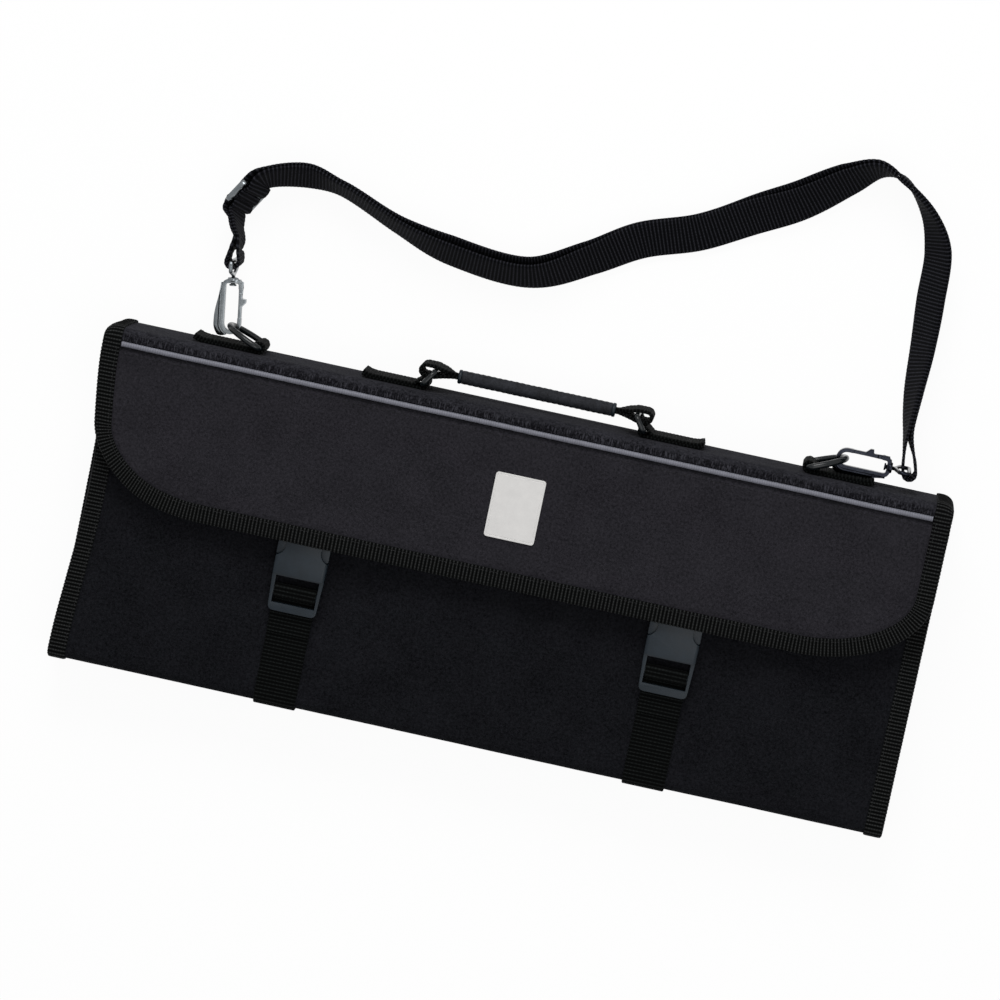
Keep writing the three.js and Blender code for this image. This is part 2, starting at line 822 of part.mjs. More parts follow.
function prong(cx, sign) {
  const top = yPlug - GAP;
  const yHead = yMouth - WINDOW_IN;
  const x = (value) => cx + sign * value;
  const outline = rounded(
    [
      [x(PRONG_INNER), top],
      [x(PRONG_INNER + PRONG_ARM), top],
      [x(PRONG_INNER + PRONG_ARM), top - PRONG_NECK, PRONG_BEND],
      [x(PRONG_OUTER), yHead + PRONG_HEAD / 2, PRONG_BEND / 2],
      [x(PRONG_OUTER), yHead - PRONG_HEAD / 2, PRONG_BEND],
      [x(PRONG_INNER + PRONG_ARM), top - PRONG_LENGTH, PRONG_BEND / 2],
      [x(PRONG_INNER), top - PRONG_LENGTH + PRONG_ARM, PRONG_BEND],
    ],
    true,
  );
  const zMiddle = zSocket + SOCKET_THICK / 2;
  return slab(outline, zMiddle - PRONG_THICK / 2, zMiddle + PRONG_THICK / 2);
}

// Webbing folded round the plug's end bar and sewn flat under the flap
function plugTab(cx) {
  const zTop = padTop - PAD - GAP;
  const zTail = zTop - PLUG_WEB_THICK - PLUG_WEB_THICK;
  const play = GAP + GAP;
  const yNear = yPlugEnd - PLUG_END_BAR - play;
  const yFar = yPlugEnd + play;
  const zLow = zPlugFrame - play;
  const zHigh = zPlugFrame + PLUG_FRAME_THICK + play;
  const outline = rounded(
    [
      [yPlug + PLUG_TAB_END, zTail],
      [yPlug + PLUG_TAB_END, zTop],
      [yFar + PLUG_WEB_THICK, zTop, PLUG_TAB_BEND],
      [yNear - PLUG_WEB_THICK, zHigh + PLUG_WEB_THICK, PLUG_TAB_BEND],
      [yNear - PLUG_WEB_THICK, zLow - PLUG_WEB_THICK, PLUG_TAB_BEND],
      [yFar + PLUG_WEB_THICK, zLow - PLUG_WEB_THICK, PLUG_TAB_BEND],
      [yFar + PLUG_WEB_THICK + PLUG_TAB_BEND, zTail, PLUG_TAB_BEND],
    ],
    true,
  );
  const body = slab(outline, cx - WEB / 2, cx + WEB / 2, "yz");
  return cut(body, [block(cx - WEB, cx + WEB, yNear, yFar, zLow, zHigh)]);
}

endSides.forEach(([side, sign]) => {
  const setback = sign > 0 ? BUCKLE_RIGHT_SETBACK : BUCKLE_LEFT_SETBACK;
  const cx = sign * (xEnd - setback);
  add(`buckle_socket_${side}`, socket(cx), BUCKLE_COLOR, 0.35);
  add(`buckle_strap_${side}`, socketStrap(cx), WEB_COLOR, 0.85);
  add(`buckle_plug_${side}`, plug(cx), BUCKLE_COLOR, 0.35);
  add(`plug_tab_${side}`, plugTab(cx), WEB_COLOR, 0.85);
  add(`prong_${side}_outer`, prong(cx, sign), BUCKLE_COLOR, 0.35);
  add(`prong_${side}_inner`, prong(cx, -sign), BUCKLE_COLOR, 0.35);
});

// Webbing folded round a bar beside the spine and sewn flat on it, its free end curling up
function spineTab(sign, bar, rise, rod, length) {
  const end = bar + length;
  const hole = rod / 2 + GAP;
  const low = ySpine + GAP;
  const high = low + WEB_THICK + WEB_THICK;
  const loop = arc(bar, ySpine + rise, hole + WEB_THICK, hole + WEB_THICK, 270, TAB_WRAP_DEG, LOOP_STEPS);
  const [xTop, yTop] = loop[LOOP_STEPS];
  const outline = [
    [end, low + TAB_CURL_RISE],
    [end - TAB_CURL, low],
    ...loop,
    [xTop + (yTop - high) * Math.tan(TAB_WRAP_DEG * RAD), high],
    [end - TAB_CURL, high],
    [end, high + TAB_CURL_RISE],
  ];
  const body = slab(outline.map(([x, y]) => [sign * x, y]), FIX_HEIGHT - WEB / 2, FIX_HEIGHT + WEB / 2);
  return cut(body, [slab(disc(sign * bar, ySpine + rise, hole), FIX_HEIGHT - WEB, FIX_HEIGHT + WEB)]);
}

// A ring's line: a straight bar along Z at its foot, its far end leaning by an angle from the spine's face
function ringPoints(sign, bar, rise, across, lean) {
  const direction = new THREE.Vector3(sign * Math.cos(lean * RAD), Math.sin(lean * RAD), 0);
  const foot = new THREE.Vector3(sign * bar, ySpine + rise, FIX_HEIGHT);
  return across.map(([out, z]) => foot.clone().addScaledVector(direction, out).setZ(FIX_HEIGHT + z));
}

function ringBody(sign, bar, rise, across, lean, rod) {
  const direction = new THREE.Vector3(sign * Math.cos(lean * RAD), Math.sin(lean * RAD), 0);
  const normal = new THREE.Vector3(0, 0, 1).cross(direction).normalize();
  return closedRod(ringPoints(sign, bar, rise, across, lean), normal, rod / 2);
}

const handleRing = roundedRectangle(
  0,
  HANDLE_RING_LONG,
  -HANDLE_RING_WIDE / 2,
  HANDLE_RING_WIDE / 2,
  HANDLE_RING_CORNER,
);
const strapRing = [
  ...rounded(
    [
      [RING_ROD, -RING_WIDE / 2],
      [0, -RING_WIDE / 2, HANDLE_RING_CORNER],
      [0, RING_WIDE / 2, HANDLE_RING_CORNER],
      [RING_ROD, RING_WIDE / 2],
    ],
    false,
  ),
  ...arc(RING_ROD, 0, RING_LONG - RING_ROD, RING_WIDE / 2, 90, -90, CORNER_STEPS).slice(1, -1),
];
endSides.forEach(([side, sign]) => {
  add(
    `handle_tab_${side}`,
    spineTab(sign, handleBar, HANDLE_BAR_RISE, HANDLE_ROD, HANDLE_TAB),
    WEB_COLOR,
    0.85,
  );
  add(
    `handle_ring_${side}`,
    ringBody(sign, handleBar, HANDLE_BAR_RISE, handleRing, 90 + HANDLE_LEAN_DEG, HANDLE_ROD),
    RING_COLOR,
    0.35,
  );
  add(`ring_tab_${side}`, spineTab(sign, ringBar, RING_BAR_RISE, RING_ROD, RING_TAB), WEB_COLOR, 0.85);
  add(
    `strap_ring_${side}`,
    ringBody(sign, ringBar, RING_BAR_RISE, strapRing, RING_LEAN_DEG, RING_ROD),
    RING_COLOR,
    0.35,
  );
});

// The handle: webbing with a loop at each end, and a grip tube over its middle
const yGrip = ySpine + GRIP_RISE;
const yLoop = ySpine + HANDLE_BAR_RISE + HANDLE_RING_LONG * Math.cos(HANDLE_LEAN_DEG * RAD);
const xLoopNear = handleBar - HANDLE_RING_LONG * Math.sin(HANDLE_LEAN_DEG * RAD);
const loopInner = HANDLE_ROD / 2 + HANDLE_LOOP_PLAY;
const loopOuter = loopInner + HANDLE_LOOP_THICK;
function stadium(sign, radius) {
  return [
    ...arc(xLoopNear, yLoop, radius, radius, 90, 270, LOOP_STEPS),
    ...arc(handleBar, yLoop, radius, radius, -90, 90, LOOP_STEPS),
  ].map(([x, y]) => [sign * x, y]);
}
function neck(sign) {
  const near = new THREE.Vector3(sign * (GRIP_LENGTH / 2 + NECK_INSET), yGrip, FIX_HEIGHT);
  const far = new THREE.Vector3(sign * (xLoopNear - loopOuter + HANDLE_LOOP_THICK / 2), yLoop, FIX_HEIGHT);
  const ends = sign > 0 ? [near, far] : [far, near];
  const halves = [
    [CORE_RADIUS, CORE_RADIUS],
    [HANDLE_LOOP_THICK, HANDLE_WEB / 2],
  ];
  const order = sign > 0 ? halves : [...halves].reverse();
  const positions = [];
  ends.forEach((point, i) => {
    const [halfY, halfZ] = order[i];
    rectangle(-halfY, halfY, -halfZ, halfZ).forEach(([a, b]) => {
      positions.push(point.x, point.y + a, point.z + b);
    });
  });
  const geometry = new THREE.BufferGeometry();
  geometry.setAttribute("position", new THREE.Float32BufferAttribute(positions, 3));
  const index = [0, 2, 1, 0, 3, 2, 4, 5, 6, 4, 6, 7];
  for (let j = 0; j < 4; j++) {
    const k = (j + 1) % 4;
    index.push(j, k, 4 + k, j, 4 + k, 4 + j);
  }
  geometry.setIndex(index);
  return geometry;
}
const core = slab(
  disc(0, 0, CORE_RADIUS),
  -GRIP_LENGTH / 2 - NECK_INSET - NECK_INSET,
  GRIP_LENGTH / 2 + NECK_INSET + NECK_INSET,
  "yz",
).translate(0, yGrip, FIX_HEIGHT);
const handleParts = [core];
endSides.forEach(([, sign]) => {
  const low = FIX_HEIGHT - HANDLE_WEB / 2;
  const loopBody = slab(stadium(sign, loopOuter), low, low + HANDLE_WEB);
  handleParts.push(cut(loopBody, [slab(stadium(sign, loopInner), low - GAP, low + HANDLE_WEB + GAP)]));
  handleParts.push(neck(sign));
});
add("handle_webbing", join(handleParts), WEB_COLOR, 0.85);
const gripHalf = GRIP_LENGTH / 2;
const gripProfile = [
  [GRIP_BORE, -gripHalf],
  [GRIP_RADIUS - GRIP_ROUND, -gripHalf],
  [GRIP_RADIUS, -gripHalf + GRIP_ROUND],
  [GRIP_RADIUS, gripHalf - GRIP_ROUND],
  [GRIP_RADIUS - GRIP_ROUND, gripHalf],
  [GRIP_BORE, gripHalf],
  [GRIP_BORE, -gripHalf],
].map(([a, b]) => new THREE.Vector2(a, b));
add(
  "handle_grip",
  new THREE.LatheGeometry(gripProfile, GRIP_STEPS).rotateZ(-90 * RAD).translate(0, yGrip, FIX_HEIGHT),
  0x1b1b1d,
  0.6,
);

// The snap hooks, drawn along X from the ring to the swivel, then placed
const ringLean = RING_LEAN_DEG * RAD;
function ringTip(sign) {
  return new THREE.Vector3(
    sign * (ringBar + RING_LONG * Math.cos(ringLean)),
    ySpine + RING_BAR_RISE + RING_LONG * Math.sin(ringLean),
    FIX_HEIGHT,
  );
}
const cheekTop = HOOK_TOP - HOOK_ROD / 2;
function hookBody(flip) {
  const line = rounded(
    [
      [HOOK_TOP, HOOK_RADIUS],
      [HOOK_TOP, -HOOK_RADIUS, HOOK_CORNER],
      [0, -HOOK_RADIUS],
    ],
    false,
  );
  const bend = arc(0, 0, HOOK_RADIUS, HOOK_RADIUS, 270, 90, CORNER_STEPS).slice(1);
  const whole = [...line, ...bend, [HOOK_NOSE, HOOK_RADIUS]];
  const frame = slab(
    thicken(whole.map(([s, t]) => [s, flip * t]), HOOK_ROD),
    -HOOK_THICK / 2,
    HOOK_THICK / 2,
  );
  const barrel = slab(disc(0, 0, BARREL_RADIUS), HOOK_TOP, HOOK_TOP + BARREL_LENGTH, "yz");
  const bore = slab(
    disc(0, 0, BARREL_BORE),
    cheekTop - HOOK_ROD,
    HOOK_TOP + BARREL_LENGTH + HOOK_ROD,
    "yz",
  );
  const cheekRoom = GATE_THICK / 2 + GAP;
  const cheeks = [];
  [-1, 1].forEach((sign) => {
    const z0 = sign > 0 ? cheekRoom : -HOOK_THICK / 2;
    const z1 = sign > 0 ? HOOK_THICK / 2 : -cheekRoom;
    const outline = rectangle(GATE_PIVOT, HOOK_TOP, HOOK_RADIUS - CHEEK_RADIUS, HOOK_RADIUS + HOOK_ROD / 2);
    cheeks.push(slab(outline.map(([s, t]) => [s, flip * t]), z0, z1));
    cheeks.push(slab(disc(GATE_PIVOT, flip * HOOK_RADIUS, CHEEK_RADIUS), z0, z1));
  });
  const pin = slab(
    disc(GATE_PIVOT, flip * HOOK_RADIUS, GATE_PIN),
    -HOOK_THICK / 2 + GAP,
    HOOK_THICK / 2 - GAP,
  );
  return cut(join([frame, barrel, ...cheeks, pin]), [bore]);
}
function hookGate(flip) {
  const half = GATE_ROD / 2;
  const tip = HOOK_NOSE + GATE_TIP_GAP;
  const lever = GATE_PIVOT - LEVER_START;
  const outline = [
    ...arc(GATE_PIVOT, HOOK_RADIUS, half + GAP, half + GAP, -90, 90, ARC_STEPS),
    [lever, HOOK_RADIUS + half],
    [lever - GAP, HOOK_RADIUS + half + LEVER_RISE],
    [lever - LEVER_LENGTH / 2, HOOK_RADIUS + half + LEVER_RISE],
    [lever - LEVER_LENGTH, HOOK_RADIUS + half],
    [tip, HOOK_RADIUS + half],
    [tip, HOOK_RADIUS - half],
  ].map(([s, t]) => [s, flip * t]);
  const wide = [
    [GATE_PIVOT - GATE_STEP, HOOK_RADIUS - half],
    [GATE_PIVOT - GATE_STEP, HOOK_RADIUS + half],
    ...outline.slice(ARC_STEPS + 1).map(([s, t]) => [s, flip * t]),
  ].map(([s, t]) => [s, flip * t]);
  const bore = slab(
    disc(GATE_PIVOT, flip * HOOK_RADIUS, GATE_BORE),
    -HOOK_THICK,
    HOOK_THICK,
  );
  return cut(
    join([slab(outline, -GATE_THICK / 2, GATE_THICK / 2), slab(wide, -GATE_WIDE / 2, GATE_WIDE / 2)]),
    [bore],
  );
}
function hookEye() {
  const half = EYE_WIDE / 2;
  const neckHalf = EYE_NECK_WIDE / 2;
  const loop = rounded(
    [
      [EYE_BAR, -half, EYE_CORNER],
      [EYE_BAR, half, EYE_CORNER],
      [EYE_BAR - EYE_SIDE, half, EYE_CORNER],
      [EYE_NECK, neckHalf, EYE_CORNER / 2],
      [EYE_NECK, -neckHalf, EYE_CORNER / 2],
      [EYE_BAR - EYE_SIDE, -half, EYE_CORNER],
    ],
    true,
  ).map(([s, z]) => new THREE.Vector3(s, 0, z));
  const ring = closedRod(loop, new THREE.Vector3(0, 1, 0), EYE_ROD / 2);
  const headTop = cheekTop - GAP;
  const shank = slab(disc(0, 0, SHANK_RADIUS), headTop - SHANK_HEAD_THICK / 2, EYE_NECK, "yz");
  const head = slab(
    disc(0, 0, SHANK_HEAD),
    headTop - SHANK_HEAD_THICK,
    headTop,
    "yz",
  );
  return join([ring, shank, head]);
}
const hookPlaces = [
  ["left", -1, LEFT_HOOK_DEG, -1, HOOK_SEAT_LEFT],
  ["right", 1, 0, 1, HOOK_SEAT_RIGHT],
];
const eyeBars = {};
hookPlaces.forEach(([side, sign, angle, flip, seat]) => {
  const along = new THREE.Vector3(Math.cos(angle * RAD), Math.sin(angle * RAD), 0);
  const start = ringTip(sign).addScaledVector(along, seat);
  const place = new THREE.Matrix4().makeRotationZ(angle * RAD).setPosition(start);
  add(`hook_${side}`, hookBody(flip).applyMatrix4(place), STEEL, 0.3, 0.9);
  add(`hook_gate_${side}`, hookGate(flip).applyMatrix4(place), STEEL, 0.3, 0.9);
  add(`hook_eye_${side}`, hookEye().applyMatrix4(place), STEEL, 0.3, 0.9);
  eyeBars[side] = start.clone().addScaledVector(along, EYE_BAR);
});

// The slider of the shoulder strap, standing tilted on the table
const tilt = SLIDER_TILT_DEG * RAD;
const sliderAlong = new THREE.Vector3(Math.cos(SLIDER_DEG * RAD), Math.sin(SLIDER_DEG * RAD), 0);
const sliderWidth = new THREE.Vector3(
  -sliderAlong.y * Math.cos(tilt),
  sliderAlong.x * Math.cos(tilt),
  Math.sin(tilt),
);
const sliderCentre = new THREE.Vector3(SLIDER_SETBACK - xEnd, ySpine + SLIDER_OUT, SLIDER_REST);
const sliderBars = SLIDER_LONG / 2 - SLIDER_BAR / 2;
function sliderBody() {
  const halfLong = SLIDER_LONG / 2;
  const halfWide = SLIDER_WIDE / 2;
  const slotHalf = halfWide - SLIDER_SIDE;
  const slots = [
    roundedRectangle(-halfLong + SLIDER_BAR, -SLIDER_BAR / 2, -slotHalf, slotHalf, GAP),
    roundedRectangle(SLIDER_BAR / 2, halfLong - SLIDER_BAR, -slotHalf, slotHalf, GAP),
  ];
  const plate = slab(
    roundedRectangle(-halfLong, halfLong, -halfWide, halfWide, SLIDER_CORNER),
    -SLIDER_THICK / 2,
    SLIDER_THICK / 2,
  );
  const frame = cut(
    plate,
    slots.map((slot) => slab(slot, -SLIDER_THICK, SLIDER_THICK)),
  );
  const face = sliderAlong.clone().cross(sliderWidth);
  const place = new THREE.Matrix4().makeBasis(sliderAlong, sliderWidth, face).setPosition(sliderCentre);
  return frame.applyMatrix4(place);
}
add("strap_slider", sliderBody(), BUCKLE_COLOR, 0.35);

// Two plies of webbing round a bar at each end of a route of [point, tilt in degrees]
function doubledStrap(route, stations, startRadius, endRadius) {
  const curve = new THREE.CatmullRomCurve3(route.map(([point]) => point), false, "centripetal");
  const tilts = new THREE.CatmullRomCurve3(
    route.map(([, degrees], i) => new THREE.Vector3(i, degrees, 0)),
    false,
    "centripetal",
  );
  const middle = [];
  for (let i = 0; i <= stations; i++) {
    const share = i / stations;
    const place = curve.getUtoTmapping(share);
    const point = curve.getPoint(place);
    const along = curve.getTangent(place);
    const degrees = THREE.MathUtils.clamp(tilts.getPoint(place).y, 0, 90) * RAD;
    const flat = new THREE.Vector3(-along.y, along.x, 0).normalize();
    const width = flat.multiplyScalar(Math.cos(degrees)).add(new THREE.Vector3(0, 0, Math.sin(degrees)));
    width.addScaledVector(along, -width.dot(along)).normalize();
    middle.push({ point, along, width, out: width.clone().cross(along).normalize() });
  }
  const length = curve.getLength();
  const rest = WEB_THICK / 2 + PLY_GAP / 2;
  const spread = (share) => {
    const near = THREE.MathUtils.smoothstep(1 - (share * length) / LOOP_TAPER, 0, 1);
    const far = THREE.MathUtils.smoothstep(1 - ((1 - share) * length) / LOOP_TAPER, 0, 1);
    return rest + (startRadius - rest) * near + (endRadius - rest) * far;
  };
  const points = [];
  const widths = [];
  const put = (point, width) => {
    points.push(point);
    widths.push(width);
  };
  middle.forEach(({ point, width, out }, i) => {
    put(point.clone().addScaledVector(out, spread(i / stations)), width);
  });
  const last = middle[stations];
  for (let k = 1; k < LOOP_STEPS; k++) {
    const angle = (Math.PI * k) / LOOP_STEPS;
    const spot = last.point.clone().addScaledVector(last.out, endRadius * Math.cos(angle));
    put(spot.addScaledVector(last.along, endRadius * Math.sin(angle)), last.width);
  }
  for (let i = stations; i >= 0; i--) {
    put(middle[i].point.clone().addScaledVector(middle[i].out, -spread(i / stations)), middle[i].width);
  }
  const first = middle[0];
  for (let k = 1; k < LOOP_STEPS; k++) {
    const angle = (Math.PI * k) / LOOP_STEPS;
    const spot = first.point.clone().addScaledVector(first.out, -startRadius * Math.cos(angle));
    put(spot.addScaledVector(first.along, -startRadius * Math.sin(angle)), first.width);
  }
  return closedRibbon(points, widths, WEB, WEB_THICK);
}

const routePoint = ([along, away, tiltDegrees]) => {
  const angle = tiltDegrees * RAD;
  const rest = (WEB / 2) * Math.sin(angle) + (WEB_THICK + PLY_GAP) * Math.cos(angle) + STRAP_CLEAR;
  return [new THREE.Vector3(along * CASE_LENGTH, ySpine + away * CASE_LENGTH, rest), tiltDegrees];
};
const risePoint = ([along, away, height, tiltDegrees]) => [
  new THREE.Vector3(along * CASE_LENGTH, ySpine + away * CASE_LENGTH, height * CASE_LENGTH),
  tiltDegrees,
];
const eyeLoop = EYE_ROD / 2 + EYE_LOOP_PLAY + WEB_THICK / 2;
const sliderLoop = Math.hypot(SLIDER_BAR, SLIDER_THICK) / 2 + LOOP_PLAY + WEB_THICK / 2;
// A point level with a bar and a short way off it, so that the webbing leaves the bar square
function lead(bar, towards) {
  const level = towards.clone().setZ(bar.z).sub(bar).normalize();
  return bar.clone().addScaledVector(level, STRAP_LEAD);
}
const risePoints = STRAP_RISE_SHARES.map(risePoint);
const legPoints = LEG_SHARES.map(risePoint);
const sliderEnd = (sign, reach) => sliderCentre.clone().addScaledVector(sliderAlong, sign * reach);
const mainRoute = [
  [sliderEnd(1, sliderBars), SLIDER_TILT_DEG],
  [sliderEnd(1, sliderBars + STRAP_LEAD), SLIDER_TILT_DEG],
  ...STRAP_ROUTE_SHARES.map(routePoint),
  ...risePoints,
  [lead(eyeBars.right, risePoints[risePoints.length - 1][0]), 90],
  [eyeBars.right, 90],
];
const legRoute = [
  [eyeBars.left, 90],
  [lead(eyeBars.left, legPoints[0][0]), 90],
  ...legPoints,
  [sliderEnd(-1, sliderBars + STRAP_LEAD), SLIDER_TILT_DEG],
  [sliderEnd(-1, sliderBars), SLIDER_TILT_DEG],
];
add("shoulder_strap", doubledStrap(mainRoute, STRAP_STATIONS, sliderLoop, eyeLoop), WEB_COLOR, 0.85);
add("strap_leg", doubledStrap(legRoute, LEG_STATIONS, eyeLoop, sliderLoop), WEB_COLOR, 0.85);

// Elastic bands across the inside of the back, arched into loops for the blades
const bandPitch = (CASE_WIDTH - BAND_SETBACK - BAND_SETBACK) / BAND_LOOPS;
function knifeBand(cx) {
  const half = (bandPitch - BAND_SEAM) / 2;
  const low = zInside + GAP + BAND_THICK / 2;
  const line = [];
  const start = BAND_SETBACK - CASE_WIDTH / 2;
  line.push([start - BAND_BEND, low]);
  for (let i = 0; i < BAND_LOOPS; i++) {
    const middle = start + bandPitch * (i + 0.5);
    line.push([middle - half, low, BAND_BEND / 2]);
    line.push([middle - half + BAND_BEND / 2, low + BAND_HEIGHT, BAND_BEND]);
    line.push([middle + half - BAND_BEND / 2, low + BAND_HEIGHT, BAND_BEND]);
    line.push([middle + half, low, BAND_BEND / 2]);
  }
  line.push([-start + BAND_BEND, low]);
  return slab(thicken(rounded(line, false), BAND_THICK), cx - BAND_WIDE / 2, cx + BAND_WIDE / 2, "yz");
}
add("knife_band_left", knifeBand(BAND_LEFT_SETBACK - xEnd), ELASTIC, 0.9);
add("knife_band_right", knifeBand(xEnd - BAND_RIGHT_SETBACK), ELASTIC, 0.9);

// The origin is moved under the middle of everything but the free strap
const freeNames = ["shoulder_strap", "strap_leg", "strap_slider"];
const box = new THREE.Box3();
object.children.forEach((mesh) => {
  if (!freeNames.includes(mesh.name)) {
    mesh.geometry.computeBoundingBox();
    box.union(mesh.geometry.boundingBox);
  }
});
const middle = box.getCenter(new THREE.Vector3());
object.children.forEach((mesh) => mesh.geometry.translate(-middle.x, -middle.y, -box.min.z));

export default object;
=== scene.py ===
# %% [markdown]
# # A hard case for chef's knives
# The case lies on its back with its flap closed. Its measured parts are
# loaded first, because every piece made here rides on one of them.

# %% Load the measured frame
import json
import math

import bmesh
import bpy
from mathutils import Matrix, Vector, kdtree, noise

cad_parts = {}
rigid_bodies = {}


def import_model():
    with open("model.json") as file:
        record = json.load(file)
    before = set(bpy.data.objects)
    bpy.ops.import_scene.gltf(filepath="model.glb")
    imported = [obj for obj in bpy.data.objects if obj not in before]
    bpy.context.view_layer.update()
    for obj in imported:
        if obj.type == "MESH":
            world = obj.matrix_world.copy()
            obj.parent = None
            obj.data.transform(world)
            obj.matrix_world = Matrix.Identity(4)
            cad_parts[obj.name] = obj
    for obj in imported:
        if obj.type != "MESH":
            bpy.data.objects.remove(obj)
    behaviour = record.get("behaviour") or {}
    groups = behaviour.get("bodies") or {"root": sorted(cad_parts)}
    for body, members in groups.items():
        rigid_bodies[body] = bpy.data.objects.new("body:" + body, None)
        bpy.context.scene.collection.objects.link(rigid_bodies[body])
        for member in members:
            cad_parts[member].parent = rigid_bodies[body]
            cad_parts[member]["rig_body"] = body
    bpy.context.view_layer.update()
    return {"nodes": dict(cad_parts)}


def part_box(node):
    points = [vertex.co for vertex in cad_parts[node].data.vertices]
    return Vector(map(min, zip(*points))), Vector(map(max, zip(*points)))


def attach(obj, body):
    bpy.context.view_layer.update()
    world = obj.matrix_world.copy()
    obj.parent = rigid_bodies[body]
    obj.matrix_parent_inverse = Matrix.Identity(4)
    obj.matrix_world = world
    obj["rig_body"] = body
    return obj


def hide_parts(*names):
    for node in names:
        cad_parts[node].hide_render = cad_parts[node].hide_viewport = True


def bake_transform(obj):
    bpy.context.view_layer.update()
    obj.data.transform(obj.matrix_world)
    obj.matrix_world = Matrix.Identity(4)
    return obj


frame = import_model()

# %% [markdown]
# A case maker measures from the middle of the case, in millimetres. The frame
# is in metres and has its own middle, so one small function turns a maker's
# point into a point of the frame. Its shift is read off the back board.

# %% Places on the case
MM = 0.001
HALF_LONG = 254.0
HALF_WIDE = 101.5
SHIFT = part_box("back_board")[1].y / MM - HALF_WIDE
X_AXIS = Vector((1, 0, 0))
Y_AXIS = Vector((0, 1, 0))
Z_AXIS = Vector((0, 0, 1))
SIDES = (("left", -1), ("right", 1))


def spot(x, y, z):
    return Vector((x, y + SHIFT, z)) * MM


print("the frame's middle is", round(SHIFT, 2), "mm from the case's middle")

# %% [markdown]
# The photograph was taken from nearly straight above, by a camera that was
# far off and a little turned. A long lens at three metres gives the same
# nearly parallel edges.

# %% The camera
FOCAL_LENGTH = 182.31
CAMERA_PLACE = (142.1, 465.8, 2991.7)
CAMERA_AXES = ((0.9760, -0.2118, 0.0502), (0.2031, 0.9691, 0.1400), (-0.0783, -0.1264, 0.9889))

scene = bpy.context.scene
lens = bpy.data.cameras.new("camera")
lens.sensor_width = 36
lens.lens = FOCAL_LENGTH
lens.clip_end = 20
camera = bpy.data.objects.new("camera", lens)
scene.collection.objects.link(camera)
turned = Matrix(CAMERA_AXES).to_quaternion().to_matrix().to_4x4()
camera.matrix_world = Matrix.Translation(spot(*CAMERA_PLACE)) @ turned
scene.camera = camera
print("the camera is", round(camera.location.length, 2), "m away")

# %% [markdown]
# Light and finishes are both made of small nodes joined together, and a few
# short functions keep that readable.

# %% Nodes
def node(owner, kind, **settings):
    """A new node, its sockets or its own properties set by name."""
    made = owner.node_tree.nodes.new(kind)
    for name, value in settings.items():
        if name in made.inputs:
            made.inputs[name].default_value = value
        else:
            setattr(made, name, value)
    return made


def join(owner, source, target):
    owner.node_tree.links.new(source, target)


def mathed(owner, operation, first, second):
    made = node(owner, "ShaderNodeMath", operation=operation)
    for value, socket in ((first, made.inputs[0]), (second, made.inputs[1])):
        if isinstance(value, (int, float)):
            socket.default_value = value
        else:
            join(owner, value, socket)
    return made.outputs[0]


def times(owner, first, second):
    return mathed(owner, "MULTIPLY", first, second)


def plus(owner, first, second):
    return mathed(owner, "ADD", first, second)


print("node helpers ready")

# %% [markdown]
# Soft light falls from the side of the spine, so that the flap's low edge
# throws its dark line on the front. The world is white to the camera and to
# anything shiny, and only grey to cloth.

# %% Light and background
CLOTH_SKY = 0.36
scene.view_settings.view_transform = "Standard"


def soft_lamp(name, place, size, power):
    """A round area lamp that looks at the middle of the case."""
    data = bpy.data.lights.new(name, "AREA")
    data.shape = "DISK"
    data.size = size
    data.energy = power
    lamp = bpy.data.objects.new(name, data)
    lamp.location = place
    lamp.rotation_euler = (spot(0, 20, 20) - lamp.location).to_track_quat("-Z", "Y").to_euler()
    scene.collection.objects.link(lamp)


soft_lamp("window_side", (-0.3, 1.7, 1.25), size=1.1, power=28)
soft_lamp("overhead", (0.5, -0.2, 2.0), size=1.6, power=13)
world = bpy.data.worlds.new("studio")
scene.world = world
world.use_nodes = True
world.node_tree.nodes.clear()


def ray_share(owner):
    """One where a ray comes from the camera, a shiny surface or glass."""
    path = node(owner, "ShaderNodeLightPath").outputs
    shiny = mathed(owner, "MAXIMUM", path["Is Glossy Ray"], path["Is Transmission Ray"])
    return mathed(owner, "MAXIMUM", path["Is Camera Ray"], shiny)


def plain_shader(owner, kind, grey, **settings):
    return node(owner, kind, Color=(grey, grey, grey, 1), **settings).outputs[0]


def mix_to_output(owner, share, first, second, kind):
    """The first shader where the share is nought, and the second where it is one."""
    mix = node(owner, "ShaderNodeMixShader")
    for source, socket in zip((share, first, second), mix.inputs):
        join(owner, source, socket)
    join(owner, mix.outputs[0], node(owner, kind).inputs[0])


for_cloth = plain_shader(world, "ShaderNodeBackground", 1, Strength=CLOTH_SKY)
for_camera = plain_shader(world, "ShaderNodeBackground", 1, Strength=1)
mix_to_output(world, ray_share(world), for_cloth, for_camera, "ShaderNodeOutputWorld")

# %% [markdown]
# The table is a plain pale plane. Most of what the camera sees of it is its
# own even white, and the rest is lit, which keeps the case's soft shadow.

# %% The table
TABLE_HALF = 6
TABLE_GREY = 0.93
TABLE_EVEN = 0.94

table_mesh = bpy.data.meshes.new("table")
bm = bmesh.new()
bmesh.ops.create_grid(bm, x_segments=1, y_segments=1, size=TABLE_HALF)
bm.to_mesh(table_mesh)
bm.free()
table = bpy.data.objects.new("table", table_mesh)
scene.collection.objects.link(table)
table_finish = bpy.data.materials.new("table_white")
table_finish.use_nodes = True
table_finish.node_tree.nodes.clear()
even = times(table_finish, ray_share(table_finish), TABLE_EVEN)
lit = plain_shader(table_finish, "ShaderNodeBsdfDiffuse", TABLE_GREY)
glow = plain_shader(table_finish, "ShaderNodeEmission", 1, Strength=1)
mix_to_output(table_finish, even, lit, glow, "ShaderNodeOutputMaterial")
table_mesh.materials.append(table_finish)
print("the table is", table.dimensions.x, "m wide")

